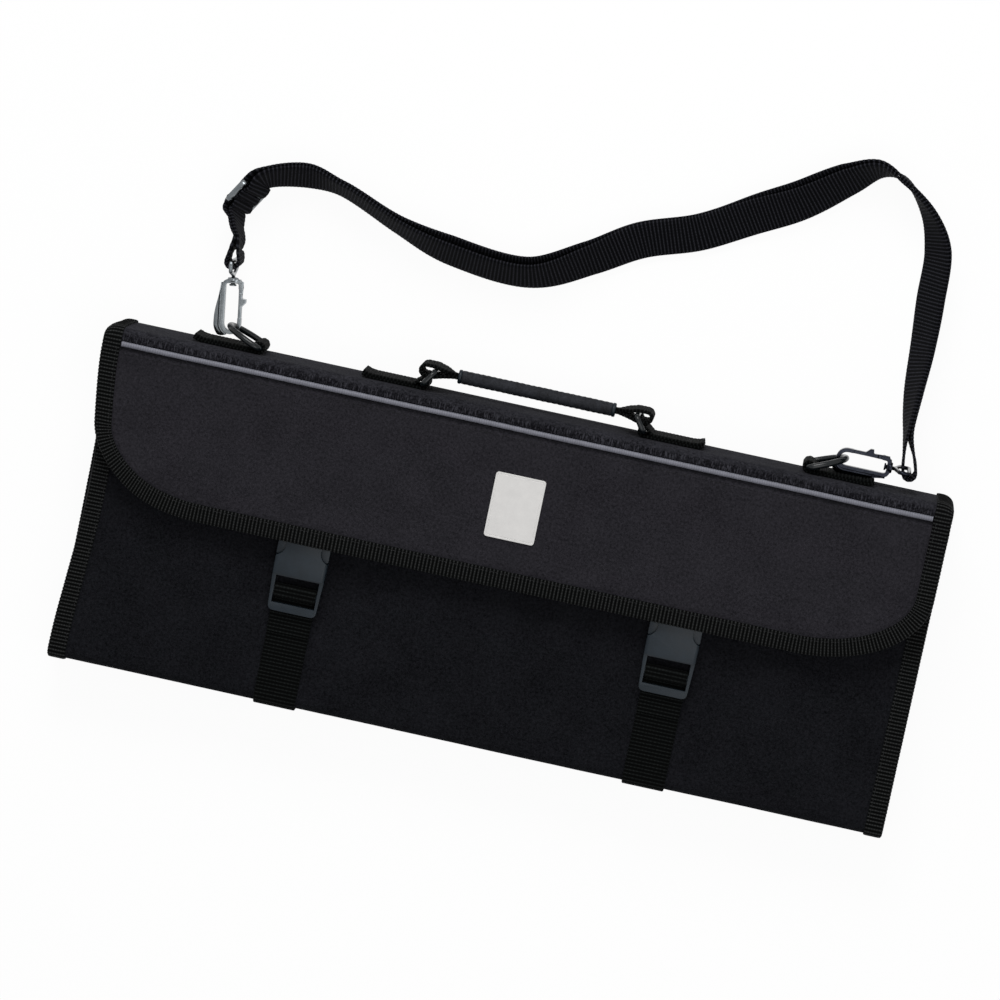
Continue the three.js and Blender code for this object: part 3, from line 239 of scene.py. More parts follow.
# %% [markdown]
# Every finish here starts from one shader with fixed numbers on its own
# sockets. Colour, roughness and relief are then varied by small patterns.

# %% A finish
def shader_of(material):
    return material.node_tree.nodes["Principled BSDF"].inputs


def finish(name, rough, metal=0.0, specular=0.5, sheen=0.0):
    material = bpy.data.materials.new(name)
    material.use_nodes = True
    shader = shader_of(material)
    shader["Roughness"].default_value = rough
    shader["Metallic"].default_value = metal
    shader["Specular IOR Level"].default_value = specular
    if sheen:
        shader["Sheen Weight"].default_value = sheen
        shader["Sheen Roughness"].default_value = 0.4
    return material


print("a finish is one shader and its patterns")

# %% [markdown]
# Webbing, tape and piping carry their patterns on a UV map measured in
# millimetres along and across the weave. The rest use object coordinates,
# but for the painted highlight strokes on the spine.

# %% Patterns
ON_OBJECT = ("Object", (1 / MM, 1 / MM, 1 / MM))
ON_UV = ("UV", (1, 1, 1))


def laid_on(material, grid):
    """Coordinates of a grid: the kind named, stretched along each way."""
    where, scale = grid
    coordinates = node(material, "ShaderNodeTexCoord")
    mapping = node(material, "ShaderNodeMapping", Scale=scale)
    join(material, coordinates.outputs[where], mapping.inputs["Vector"])
    return mapping.outputs["Vector"]


def texture(material, kind, grid, **settings):
    made = node(material, kind, **settings)
    join(material, laid_on(material, grid), made.inputs["Vector"])
    return made.outputs["Fac"]


def speckle(material, grid, size, detail=2.0, rough=0.6):
    """Noise whose grains are about size long, in the unit of the grid."""
    return texture(material, "ShaderNodeTexNoise", grid, Scale=1 / size, Detail=detail, Roughness=rough)


def waves(material, grid, pitch, way="X", wobble=0.0):
    """Smooth bands with a given pitch along X or Y."""
    return texture(material, "ShaderNodeTexWave", grid, Scale=math.pi / 10 / pitch,
                   Distortion=wobble, bands_direction=way)


def weighed(material, *parts):
    """The sum of patterns, each times its own share."""
    total = None
    for pattern, share in parts:
        part = times(material, pattern, share)
        total = part if total is None else plus(material, total, part)
    return total


def shade(material, amount, *stops):
    """Base colour from a pattern through stops of (place, colour)."""
    ramp = node(material, "ShaderNodeValToRGB")
    elements = ramp.color_ramp.elements
    while len(elements) < len(stops):
        elements.new(0.5)
    for element, (place, colour) in zip(elements, stops):
        element.position = place
        element.color = (*colour, 1)
    join(material, amount, ramp.inputs["Fac"])
    join(material, ramp.outputs["Color"], shader_of(material)["Base Color"])


def blended(dark, pale, divide=2):
    return tuple((a + b) / divide for a, b in zip(dark, pale))


def spread(material, amount, start, stop, low, high):
    """An amount that goes from low to high while the pattern goes from start to stop."""
    limits = {"From Min": start, "From Max": stop, "To Min": low, "To Max": high}
    made = node(material, "ShaderNodeMapRange", **limits)
    join(material, amount, made.inputs["Value"])
    return made.outputs["Result"]


def roughen(material, amount, low, high):
    join(material, spread(material, amount, 0, 1, low, high), shader_of(material)["Roughness"])


def emboss(material, height, depth, strength):
    """Relief of a given depth in millimetres."""
    bump = node(material, "ShaderNodeBump", Strength=strength, Distance=depth * MM)
    join(material, height, bump.inputs["Height"])
    join(material, bump.outputs["Normal"], shader_of(material)["Normal"])


print("pattern helpers ready")

# %% [markdown]
# The cloth is a plain-woven canvas of mixed near-black yarns. It is one
# cloth in three copies whose brightness is painted light and shade: the
# front's copy is the darkest, as painted shade, and the rolled spine's is the
# palest, as painted light. Two sets of bands give the thread its relief, and
# grains of three sizes give the mottled look.

# %% Canvas for the flap, the case and the spine
THREAD_PITCH = 0.55


def canvas(name, dark, pale, more=None):
    """Mottled canvas. more(cloth) adds a pattern of its own to the mixture."""
    cloth = finish(name, 0.95, specular=0.03, sheen=0.01)
    grain = speckle(cloth, ON_OBJECT, size=0.8, detail=3.0, rough=0.8)
    fleck = speckle(cloth, ON_OBJECT, size=1.7, detail=1.0)
    cloud = speckle(cloth, ON_OBJECT, size=26.0)
    mixed = weighed(cloth, (grain, 0.55), (fleck, 0.3), (cloud, 0.15))
    if more:
        mixed = plus(cloth, mixed, more(cloth))
    shade(cloth, mixed, (0.36, dark), (0.5, blended(dark, pale)), (0.64, pale))
    across = waves(cloth, ON_OBJECT, THREAD_PITCH, "X", wobble=0.6)
    along = waves(cloth, ON_OBJECT, THREAD_PITCH, "Y", wobble=0.6)
    relief = weighed(cloth, (plus(cloth, across, along), 0.35), (grain, 0.7))
    emboss(cloth, relief, depth=0.2, strength=0.9)
    roughen(cloth, grain, 0.88, 1.0)
    return cloth


def stripe(material, grid, low, high, soft):
    """One between low and high along Y, fading over soft at each side."""
    split = node(material, "ShaderNodeSeparateXYZ")
    join(material, laid_on(material, grid), split.inputs[0])
    sides = [spread(material, split.outputs["Y"], edge - soft / 2, edge + soft / 2, *ends)
             for edge, ends in ((low, (0, 1)), (high, (1, 0)))]
    return times(material, *sides)


def painted_gather_highlights(cloth):
    """Painted highlights: fine pale strokes for light on the gathers down the roll beside the welt, on a
    ground painted darker there.
    """
    # Painted highlights on the gathers, and a darker ground near the welt.
    highlight_strokes = speckle(cloth, ("UV", (1, 0.13, 1)), size=0.75, detail=1.0)
    near = stripe(cloth, ON_UV, low=-2.0, high=5.6, soft=3.0)
    above = mathed(cloth, "MAXIMUM", plus(cloth, highlight_strokes, -0.5), 0.0)
    return times(cloth, near, plus(cloth, times(cloth, above, 1.5), -0.11))


def painted_seam_shadow(cloth):
    """A painted shadow: a darker band in the flap's colour beside the welt, broken a little by noise."""
    # Painted shadow of the seam, along the flap just below the welt.
    seam = stripe(cloth, ON_OBJECT, low=SHIFT + 89.0, high=SHIFT + 92.0, soft=1.4)
    gaps = speckle(cloth, ON_OBJECT, size=1.3, detail=1.0)
    return times(cloth, seam, plus(cloth, times(cloth, gaps, 0.2), -0.22))


# One cloth in three copies: the case's is darkened as painted shade, and the spine's is paled as painted
# light.
FLAP_CANVAS = canvas("flap_canvas", (0.0080, 0.0078, 0.0095), (0.0300, 0.0285, 0.0345), painted_seam_shadow)
SHADED_CASE_CANVAS = canvas("shaded_case_canvas", (0.0014, 0.0015, 0.0020), (0.0125, 0.0129, 0.0158))
LIT_SPINE_CANVAS = canvas("lit_spine_canvas", (0.0040, 0.0040, 0.0052), (0.0340, 0.0340, 0.0410), painted_gather_highlights)
print("three canvases")

# %% [markdown]
# Webbing and binding tape are woven in the same way at two scales. Each has
# rows across its length that are real relief in the mesh, and each row is
# beaded by the yarns that run lengthwise. The beads are finer than the mesh,
# so they are drawn on the UV map. The raised tops of rows and beads are
# painted paler, as a painted sheen of the threads.

# %% Webbing, tape, elastic and thread
ROW = 2.17
RIB = 2.2
ELASTIC_ROW = 1.2
BEAD = 1.6
ELASTIC_BEAD = 1.5


def ribbed(name, dark, pale, row, bead=BEAD, share=0.3):
    """Rows of a given pitch along U, beaded at a given pitch along V, their tops painted paler as a painted
    sheen.
    """
    weave = finish(name, 0.8, specular=0.03, sheen=0.005)
    ridge = mathed(weave, "POWER", waves(weave, ON_UV, row, "X"), 2.6)
    beads = waves(weave, ON_UV, bead, "Y", wobble=0.8)
    grain = speckle(weave, ON_UV, size=1.1, detail=3.0, rough=0.7)
    raised = times(weave, ridge, plus(weave, times(weave, beads, share), 1 - share))
    uneven = times(weave, raised, plus(weave, times(weave, grain, 1.6), -0.05))
    # Painted sheen: the colour runs from dark in the grooves to pale on the raised tops of rows and beads.
    shade(weave, uneven, (0.0, dark), (0.35, blended(dark, pale, divide=3)), (0.8, pale))
    emboss(weave, plus(weave, raised, times(weave, grain, 0.25)), depth=0.3, strength=0.7)
    return weave


WEBBING = ribbed("webbing_black", (0.0005, 0.0006, 0.0006), (0.0112, 0.0128, 0.0126), ROW, share=0.4)
STRAP_WEB = ribbed("strap_webbing", (0.0018, 0.0019, 0.0025), (0.0300, 0.0306, 0.0380), ROW)
TAPE = ribbed("binding_tape", (0.0006, 0.0007, 0.0007), (0.0345, 0.0360, 0.0360), RIB, share=0.45)
ELASTIC = ribbed("elastic_band", (0.0040, 0.0040, 0.0046), (0.0200, 0.0200, 0.0220),
                 ELASTIC_ROW, ELASTIC_BEAD)
THREAD = finish("thread", 0.7, specular=0.15, sheen=0.03)
plies = waves(THREAD, ON_OBJECT, pitch=0.4)
shade(THREAD, plies, (0.0, (0.004, 0.004, 0.0045)), (1.0, (0.016, 0.016, 0.018)))
print("four weaves and a thread")

# %% [markdown]
# The hard parts are moulded plastic and plated metal. Satin plastic gets a
# fine spark-eroded grain and rubbed spots a little paler than its hollows.
# The left hook and the slider are plated bright, and the right hook has a
# darker copy of the same plating, as painted shade. Both show the white room
# around them.

# %% Plastics, metal, piping and label
def moulded(name, dark, pale, rough, grain_size=0.5, depth=0.03, **extra):
    plastic = finish(name, rough, **extra)
    grain = speckle(plastic, ON_OBJECT, grain_size, detail=3.0)
    broad = speckle(plastic, ON_OBJECT, size=7.0)
    shade(plastic, weighed(plastic, (grain, 0.5), (broad, 0.5)), (0.35, dark), (0.65, pale))
    roughen(plastic, broad, rough * 0.85, rough * 1.2)
    emboss(plastic, grain, depth, strength=0.6)
    return plastic


BUCKLE = moulded("buckle_plastic", (0.0038, 0.0074, 0.0110), (0.0085, 0.0140, 0.0200), 0.42, specular=0.2)
RING = moulded("ring_plastic", (0.0020, 0.0030, 0.0038), (0.0060, 0.0085, 0.0100), 0.22, specular=0.26)
GRIP = moulded("grip_rubber", (0.0045, 0.0050, 0.0062), (0.0230, 0.0248, 0.0300), 0.65,
               grain_size=1.1, depth=0.16, specular=0.12)
PLATED = moulded("plated_metal", (0.10, 0.112, 0.12), (0.20, 0.215, 0.225), 0.2, depth=0.02, metal=1.0)
# Painted shade: the right hook's copy of the plating, darker than the left's.
SHADED_PLATED = moulded("shaded_plated_metal", (0.006, 0.0066, 0.009), (0.017, 0.0185, 0.024), 0.2,
                      depth=0.02, metal=1.0)
LABEL = moulded("label_plate", (0.60, 0.59, 0.58), (0.67, 0.66, 0.645), 0.5,
                grain_size=0.35, depth=0.02, specular=0.3)
PIPING = finish("piping_satin", 0.5, specular=0.4, sheen=0.05)
twist = waves(PIPING, ON_UV, pitch=1.4, wobble=0.8)
mottle = speckle(PIPING, ON_UV, size=5.0)
shade(PIPING, weighed(PIPING, (twist, 0.35), (mottle, 0.65)),
      (0.2, (0.092, 0.094, 0.115)), (0.8, (0.155, 0.158, 0.192)))
emboss(PIPING, twist, depth=0.08, strength=0.5)
print("seven hard finishes")

# %% [markdown]
# Most pieces are long woven strips or shells of cloth over board. Both can be
# made from one flat grid: every corner of the grid is moved to its place on
# the piece, the meeting edges are merged, and open ends are closed. The grid
# also gives a UV map that measures millimetres along and across the cloth.

# %% A skin from a grid
def skin(columns, rows, place, long, wide, ring_along=False):
    """A grid closed round its rows, whose corners move to place(i, j) on the case."""
    bm = bmesh.new()
    weave = bm.loops.layers.uv.new("UVMap")
    bmesh.ops.create_grid(bm, x_segments=columns, y_segments=rows, size=1, calc_uvs=True)
    for face in bm.faces:
        for loop in face.loops:
            u, v = loop[weave].uv
            loop[weave].uv = (u * long, v * wide)
    for vert in bm.verts:
        i = round((vert.co.x + 1) / 2 * columns)
        j = round((vert.co.y + 1) / 2 * rows)
        vert.co = spot(*place(i % columns if ring_along else i, j % rows))
    bmesh.ops.remove_doubles(bm, verts=bm.verts, dist=1e-7)
    bmesh.ops.holes_fill(bm, edges=[edge for edge in bm.edges if edge.is_boundary], sides=0)
    bmesh.ops.recalc_face_normals(bm, faces=bm.faces)
    return bm


def made(name, bm, material, corner=38):
    """The finished mesh as an object, smooth but for corners past an angle."""
    mesh = bpy.data.meshes.new(name)
    bm.to_mesh(mesh)
    bm.free()
    mesh.shade_smooth()
    mesh.set_sharp_from_angle(angle=math.radians(corner))
    mesh.materials.append(material)
    piece = bpy.data.objects.new(name, mesh)
    scene.collection.objects.link(piece)
    return piece


def riding(piece, node_name):
    """The piece rides with a node's body."""
    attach(piece, frame["nodes"][node_name]["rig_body"])
    print(piece.name, "has", len(piece.data.polygons), "faces")


def dressed(name, bm, material, slot, *nodes, corner=38):
    """A piece that rides with the first of the nodes and stands for them all."""
    piece = made(name, bm, material, corner)
    riding(piece, nodes[0])
    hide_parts(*nodes)
    return piece


print("a piece is made, then it rides, then it stands for its parts")

# %% [markdown]
# Lines are drawn as corners with a rounding each, then cut into equal steps.
# Equal steps matter, because the rows of a weave are counted along them.

# %% Lines with rounded corners and equal steps
def rounded(corners, closed=False, steps=8):
    """A line through corners of (x, y) or (x, y, radius)."""
    line = []
    for k, corner in enumerate(corners):
        here = Vector(corner[:2])
        radius = corner[2] if len(corner) > 2 else 0
        if not radius or (not closed and k in (0, len(corners) - 1)):
            line.append(here)
            continue
        before = (Vector(corners[k - 1][:2]) - here).normalized()
        after = (Vector(corners[(k + 1) % len(corners)][:2]) - here).normalized()
        half = before.angle(after) / 2
        centre = here + (before + after).normalized() * radius / math.sin(half)
        start = here + before * radius / math.tan(half) - centre
        stop = here + after * radius / math.tan(half) - centre
        turn = math.atan2(start.x * stop.y - start.y * stop.x, start.dot(stop))
        line += [centre + Matrix.Rotation(turn * s / steps, 2) @ start for s in range(steps + 1)]
    return line


def box_line(low, high, radius):
    """A closed box with rounded corners, from its low corner to its high one."""
    corners = [low, (high[0], low[1]), high, (low[0], high[1])]
    return rounded([(*corner, radius) for corner in corners], closed=True)


def arc(centre, radius, start, stop, steps, tall=None):
    """Points on an arc between two angles in degrees, or on an oval's."""
    angles = [math.radians(start + (stop - start) * k / steps) for k in range(steps + 1)]
    tall = tall or radius
    return [Vector((centre[0] + radius * math.cos(a), centre[1] + tall * math.sin(a))) for a in angles]


def evenly(line, step, closed=False, measure=lambda gap: gap.length):
    """The line in equal steps close to the one given, and its length."""
    points = list(line) + ([line[0]] if closed else [])
    reach = [0.0]
    for first, second in zip(points, points[1:]):
        reach.append(reach[-1] + measure(second - first))
    count = max(2, round(reach[-1] / step))
    result, k = [], 0
    for n in range(count if closed else count + 1):
        s = reach[-1] * n / count
        while k < len(points) - 2 and reach[k + 1] < s:
            k += 1
        span = reach[k + 1] - reach[k]
        result.append(points[k].lerp(points[k + 1], (s - reach[k]) / span if span else 0.0))
    return result, reach[-1]


def headings(points, closed=False, spread=1):
    """The direction of the line at each point, over a few steps each way."""
    count = len(points)
    found = []
    for k in range(count):
        if closed:
            ahead, behind = points[(k + spread) % count], points[(k - spread) % count]
        else:
            ahead, behind = points[min(count - 1, k + spread)], points[max(0, k - spread)]
        found.append((ahead - behind).normalized())
    return found


def outward(line, closed=False, spread=1):
    """The way out of a line in a plane that runs with its outside on the left."""
    return [Vector((-way.y, way.x)) for way in headings(line, closed, spread)]


def ease(value):
    """A smooth step from nought to one."""
    value = min(1.0, max(0.0, value))
    return value * value * (3 - 2 * value)


print("a rounded corner has", len(rounded([(0, 0), (10, 0, 2), (10, 10)])) - 2, "points")

# %% [markdown]
# A row of webbing stands proud of the groove beside it. The rows are raised
# in the mesh itself, four steps to a row. A band's section is a thin
# rectangle with rounded edges, and only its two faces are ribbed.

# %% A woven band
WEB = 25.4
WEB_THICK = 1.5
WEB_RELIEF = 0.17
STEPS_A_ROW = 4
ROW_STEP = ROW / STEPS_A_ROW
RIB_STEP = RIB / STEPS_A_ROW


def row_height(k, depth):
    """How proud the k-th step of a ribbed strip stands."""
    return depth * math.sin(math.pi * (k % STEPS_A_ROW) / STEPS_A_ROW) ** 0.7


def band_section(wide, thick, across=8):
    """Points round a flat band, each with its share of the row's height."""
    half = wide / 2
    flat = half - thick * 0.45
    cheek = half - thick * 0.13
    drop = thick * 0.36
    face = [(-flat + 2 * flat * k / across, thick / 2, 1.0) for k in range(across + 1)]
    side = face + [(cheek, drop, 0.5), (half, 0.0, 0.0), (cheek, -drop, -0.5)]
    return side + [(-a, -b, -lift) for a, b, lift in side]


def woven_band(stations, length, wide=WEB, thick=WEB_THICK, depth=WEB_RELIEF, closed=False, widths=None):
    """A band over stations of (centre, side, out), its rows across it."""
    section = band_section(wide, thick)

    def place(i, j):
        centre, side, out = stations[i]
        a, b, lift = section[j]
        if widths:
            a *= widths[i] / wide
        return centre + side * a + out * (b + lift * row_height(i, depth))

    columns = len(stations) if closed else len(stations) - 1
    return skin(columns, len(section), place, length, 2 * (wide + thick), ring_along=closed)


def station_line(line, step, plane, closed=False):
    """Stations of (centre, side, out) for a line drawn in a plane and seen from its side."""
    from_plane, side = plane
    points, length = evenly(line, step, closed)
    stations = []
    for point, way in zip(points, outward(points, closed)):
        place = Vector(from_plane(*point))
        stations.append((place, side, (Vector(from_plane(*(point + way))) - place).normalized()))
    return stations, length


def flat_strap(name, node_name, line, plane, thick=WEB_THICK, depth=WEB_RELIEF):
    """A piece of webbing along a line drawn in a plane."""
    stations, length = station_line(line, ROW_STEP, plane)
    dressed(name, woven_band(stations, length, thick=thick, depth=depth), WEBBING, "webbing", node_name)


print("rows of webbing on a hand's width:", round(100 / ROW))

# %% [markdown]
# The shoulder strap is two plies of webbing sewn into one long loop: it runs
# round the bar of the slider at one end and the bar of the right hook at the
# other. It stands on its edge on the table in easy curves and comes upright
# where it turns back to the case. Its route has the same points as the
# measured strap's, in case lengths from the middle of the spine, and a tilt.

# %% The route of the shoulder strap
CASE_LONG = 2 * HALF_LONG
SPINE = HALF_WIDE
FIX_HEIGHT = 25.4
ROUTE = (
    (-0.316, 0.212, 57), (-0.272, 0.206, 70), (-0.198, 0.178, 68), (-0.135, 0.162, 57),
    (-0.038, 0.156, 55), (0.027, 0.187, 45), (0.08, 0.219, 34), (0.146, 0.243, 33),
    (0.209, 0.279, 33), (0.251, 0.303, 38), (0.302, 0.34, 50), (0.334, 0.358, 68),
    (0.365, 0.351, 90), (0.401, 0.318, 74), (0.419, 0.28, 58), (0.423, 0.222, 56),
    (0.426, 0.164, 62),
)
RISE = ((0.427, 0.11, 0.036, 72), (0.431, 0.065, 0.046, 85))
LEG = ((-0.378, 0.125, 0.046, 88), (-0.385, 0.142, 0.038, 87))
UPRIGHT = 90
LEAD = 7.5
HALF_DOUBLED = WEB_THICK + 0.4
OFF_TABLE = 0.5


def level_way(degrees):
    """A level direction at an angle from the case's length."""
    angle = math.radians(degrees)
    return Vector((math.cos(angle), math.sin(angle), 0))


def on_table(along, away, tilt):
    """A place where the strap's lower edge lies on the table."""
    angle = math.radians(tilt)
    height = WEB / 2 * math.sin(angle) + HALF_DOUBLED * abs(math.cos(angle)) + OFF_TABLE
    return Vector((along * CASE_LONG, SPINE + away * CASE_LONG, height)), tilt


def lifted(along, away, height, tilt):
    return Vector((along * CASE_LONG, SPINE + away * CASE_LONG, height * CASE_LONG)), tilt


print("the strap lies on the table at", len(ROUTE), "places")

# %% [markdown]
# The strap's two ends lie where the measured slider and hooks lie. Each hook
# sits on its ring's tip, and its eye's bar is one hook's length further.

# %% Slider, rings and hooks on the table
SLIDER_CENTRE = Vector((-193.0, 190.0, 16.2))
SLIDER_TILT = 65
SLIDER_WAY = level_way(58)
SLIDER_BARS = 6.7
LEG_TILT = 76
RING_BAR, RING_RISE, RING_LEAN = 165.7, 4.1, 22
RING_REACH = 22
ring_turn = math.radians(RING_LEAN)
RING_TIP = Vector((RING_BAR + RING_REACH * math.cos(ring_turn),
                   SPINE + RING_RISE + RING_REACH * math.sin(ring_turn), FIX_HEIGHT))
LEFT_TIP = Vector((-RING_TIP.x, RING_TIP.y, FIX_HEIGHT))
LEFT_WAY = level_way(98)
LEFT_SEAT, RIGHT_SEAT = 1.1, 0.3
EYE_BAR = 37.6
LEFT_BAR = LEFT_TIP + LEFT_WAY * (LEFT_SEAT + EYE_BAR)
RIGHT_BAR = RING_TIP + X_AXIS * (RIGHT_SEAT + EYE_BAR)


def slider_end(sign, reach):
    return SLIDER_CENTRE + SLIDER_WAY * sign * reach


def lead(bar, towards):
    """A point level with a bar, so that webbing leaves the bar square."""
    level = Vector((towards.x - bar.x, towards.y - bar.y, 0)).normalized()
    return bar + level * LEAD


rises = [lifted(*row) for row in RISE]
legs = [lifted(*row) for row in LEG]
main_route = [(slider_end(1, SLIDER_BARS), SLIDER_TILT), (slider_end(1, SLIDER_BARS + LEAD), SLIDER_TILT)]
main_route += [on_table(*row) for row in ROUTE] + rises
main_route += [(lead(RIGHT_BAR, rises[-1][0]), UPRIGHT), (RIGHT_BAR, UPRIGHT)]
leg_route = [(LEFT_BAR, UPRIGHT), (lead(LEFT_BAR, legs[0][0]), UPRIGHT)] + legs
leg_route += [(slider_end(-1, SLIDER_BARS + LEAD / 2), LEG_TILT), (slider_end(-1, SLIDER_BARS), SLIDER_TILT)]
print("the strap's route has", len(main_route), "points and its leg's", len(leg_route))

# %% [markdown]
# Between two points of the route the curve keeps the speed of its
# neighbours, with each gap counted by the root of its length. That kind of
# curve never overshoots or loops where the points are unevenly far apart.

# %% One smooth curve through points
STEEPEST = 100


def curve_through(points, per_gap=48):
    """Samples of a centripetal Catmull-Rom curve through the points."""
    ends = [points[0] * 2 - points[1]] + list(points) + [points[-1] * 2 - points[-2]]
    samples = []
    for k in range(len(points) - 1):
        p0, p1, p2, p3 = ends[k:k + 4]
        gap0, gap1, gap2 = ((b - a).length ** 0.5 for a, b in ((p0, p1), (p1, p2), (p2, p3)))
        slope1 = ((p1 - p0) / gap0 - (p2 - p0) / (gap0 + gap1) + (p2 - p1) / gap1) * gap1
        slope2 = ((p2 - p1) / gap1 - (p3 - p1) / (gap1 + gap2) + (p3 - p2) / gap2) * gap1
        for s in range(per_gap):
            t = s / per_gap
            samples.append(p1 + slope1 * t + (p2 * 3 - p1 * 3 - slope1 * 2 - slope2) * t * t
                           + (p1 * 2 - p2 * 2 + slope1 + slope2) * t ** 3)
    return samples + [points[-1].copy()]


def strap_middle(route, step):
    """Stations of (centre, width way, outward way, heading) along a route."""
    places = curve_through([point for point, tilt in route])
    tilts = curve_through([Vector((k, tilt, 0)) for k, (point, tilt) in enumerate(route)])
    both = [Vector((*place, tilt.y)) for place, tilt in zip(places, tilts)]
    stations, length = evenly(both, step, measure=lambda gap: gap.to_3d().length)
    centres = [here.to_3d() for here in stations]
    found = []
    for centre, way, here in zip(centres, headings(centres, spread=2), stations):
        angle = math.radians(min(STEEPEST, max(0, here.w)))
        flat = Vector((-way.y, way.x, 0)).normalized()
        width = flat * math.cos(angle) + Z_AXIS * math.sin(angle)
        width = (width - way * width.dot(way)).normalized()
        found.append((centre, width, width.cross(way).normalized(), way))
    return found, length


print("the strap's middle line is", round(strap_middle(main_route, ROW_STEP)[1]), "mm long")

# %% [markdown]
# The two plies lie on each other, part a little on the long stretches, and
# open round the bars at both ends. There the webbing is drawn in by a few
# hundredths of its width, so that it clears the eyes. A station whose lower
# edge would dip into the table is lifted clear of it.

# %% The doubled strap and its leg
PINCH = 0.07
PLY_REST = 0.95
EYE_LOOP = 3.75
SLIDER_LOOP = math.hypot(2.6, 2.8) / 2 + 0.5 + WEB_THICK / 2
PARTINGS = ((1.9, 0.13, 0.42, 0.1), (2.1, 0.5, 0.68, 0.08))


def clear_of_table(centre, width, out):
    low = centre.z - abs(width.z) * WEB / 2 - abs(out.z) * WEB_THICK * 0.7
    return centre + Z_AXIS * max(0.0, 0.1 - low), width, out


def two_plies(route, start_loop, end_loop, parting, start_reach=12.0, end_reach=12.0):
    """Stations round both plies of a doubled strap, its middle line and its length."""
    middle, length = strap_middle(route, ROW_STEP)
    last = len(middle) - 1
    outer, inner = [], []
    for k, (centre, width, out, way) in enumerate(middle):
        near = ease(1 - k * ROW_STEP / start_reach)
        far = ease(1 - (last - k) * ROW_STEP / end_reach)
        rest = PLY_REST + parting(k / last) * (1 - near) * (1 - far)
        apart = rest + (start_loop - rest) * near + (end_loop - rest) * far
        side = width * (1 - PINCH * max(near, far))
        outer.append(clear_of_table(centre + out * apart, side, out))
        inner.append(clear_of_table(centre - out * apart, side, -out))
    stations = list(outer)
    for (centre, width, out, way), radius, sign in ((middle[-1], end_loop, 1), (middle[0], start_loop, -1)):
        count = STEPS_A_ROW * max(2, round(math.pi * radius / ROW))
        for n in range(1, count):
            angle = math.pi * n / count
            turned = out * sign * math.cos(angle) + way * sign * math.sin(angle)
            stations.append((centre + turned * radius, width * (1 - PINCH), turned))
        if sign == 1:
            stations += inner[::-1]
    spare = len(stations) % STEPS_A_ROW
    return stations[:len(stations) - spare], middle, length


def ply_parting(share):
    """How far the plies of the long strap part, as bumps of (height, start, stop, soft)."""
    return sum(height * ease((share - start) / soft) * ease((stop - share) / soft)
               for height, start, stop, soft in PARTINGS)


def closed_strap(name, stations, node_name):
    band = woven_band(stations, len(stations) * ROW_STEP, closed=True)
    return dressed(name, band, STRAP_WEB, "webbing", node_name)


stations, strap_line, strap_long = two_plies(main_route, SLIDER_LOOP, EYE_LOOP, ply_parting, end_reach=27.0)
strap = closed_strap("shoulder_strap_webbing", stations, "shoulder_strap")
stations, _, leg_long = two_plies(leg_route, EYE_LOOP, SLIDER_LOOP, lambda share: 0.0)
strap_leg = closed_strap("strap_leg_webbing", stations, "strap_leg")
print("strap", round(strap_long), "mm, leg", round(leg_long), "mm")

# %% [markdown]
# The slider is a stamped frame with two slots. The measured frame already
# has the right shape, so a merged copy of it gets its edges rounded. The same
# small helper finishes the buckles' parts later: it merges the loose
# triangles, drops the flat edges, and bevels what is left.

# %% A measured part with its edges rounded
def rounded_copy(node_name, radius, segments=2, corner=24):
    bm = bmesh.new()
    bm.from_mesh(frame["nodes"][node_name].data)
    bmesh.ops.remove_doubles(bm, verts=bm.verts, dist=2e-6)
    bmesh.ops.dissolve_limit(bm, angle_limit=math.radians(1.5), verts=bm.verts, edges=bm.edges,
                             use_dissolve_boundaries=False)
    corner = math.radians(corner)
    sharp = [edge for edge in bm.edges if edge.is_manifold and edge.calc_face_angle() > corner]
    bmesh.ops.bevel(bm, geom=sharp, offset=radius * MM, offset_type="OFFSET", segments=segments,
                    profile=0.5, affect="EDGES", clamp_overlap=True, material=-1)
    return bm


slider_frame = rounded_copy("strap_slider", radius=0.5)
slider = dressed("strap_slider_frame", slider_frame, PLATED, "hook_metal", "strap_slider")

# %% [markdown]
# The strap's own end is sewn round the slider's middle bar. That small loop
# fills what the two plies leave open in the slots.

# %% The loop on the middle bar
BAR_HALF_LONG, BAR_HALF_HIGH, BAR_ROUND = 2.0, 2.1, 0.9
slider_flat = Vector((-SLIDER_WAY.y, SLIDER_WAY.x, 0))
tilt = math.radians(SLIDER_TILT)
slider_width = slider_flat * math.cos(tilt) + Z_AXIS * math.sin(tilt)
slider_out = slider_width.cross(SLIDER_WAY)


def in_slider(along, out):
    return SLIDER_CENTRE + SLIDER_WAY * along + slider_out * out


quarters = ((-1, -1), (-1, 1), (1, 1), (1, -1))
bar_corners = [(a * BAR_HALF_LONG, b * BAR_HALF_HIGH, BAR_ROUND) for a, b in quarters]
bar_line = rounded(bar_corners, closed=True)
stations, loop_long = station_line(bar_line, ROW_STEP, (in_slider, slider_width), closed=True)
bar_band = woven_band(stations, loop_long, wide=25.0, thick=1.2, depth=0.1, closed=True)
bar_loop = made("strap_end_loop", bar_band, STRAP_WEB)
riding(bar_loop, "strap_slider")
print("loop round the bar", round(loop_long, 1), "mm")

# %% [markdown]
# The long piece is a fixed length of webbing that lies free. The slider and
# the short leg below it hang on its far end.

# %% The cord's length
print("one cord of", round(strap_long), "mm and a leg of", round(leg_long), "mm")

# %% [markdown]
# The boards are stiff foam, each with cloth drawn round it. Cloth over foam
# isn't quite flat: it has slow swells a few centimetres wide and a finer
# ripple. The left end also leans, because the strap's weight pulls on it, so
# one small function moves every soft piece's points sideways near that end.

# %% How cloth over board lies
SPINE_ROUND = 7.0
LEAN_START, LEAN_SPAN = -200, 54
LEAN_MIDDLE = 8
LEAN_IN, LEAN_BACK = 5.5, 7.3
BOARD_END = 248.6


def uneven(x, y, z):
    """A smooth random amount between about minus one and one."""
    return noise.noise(Vector((x, y, z)))


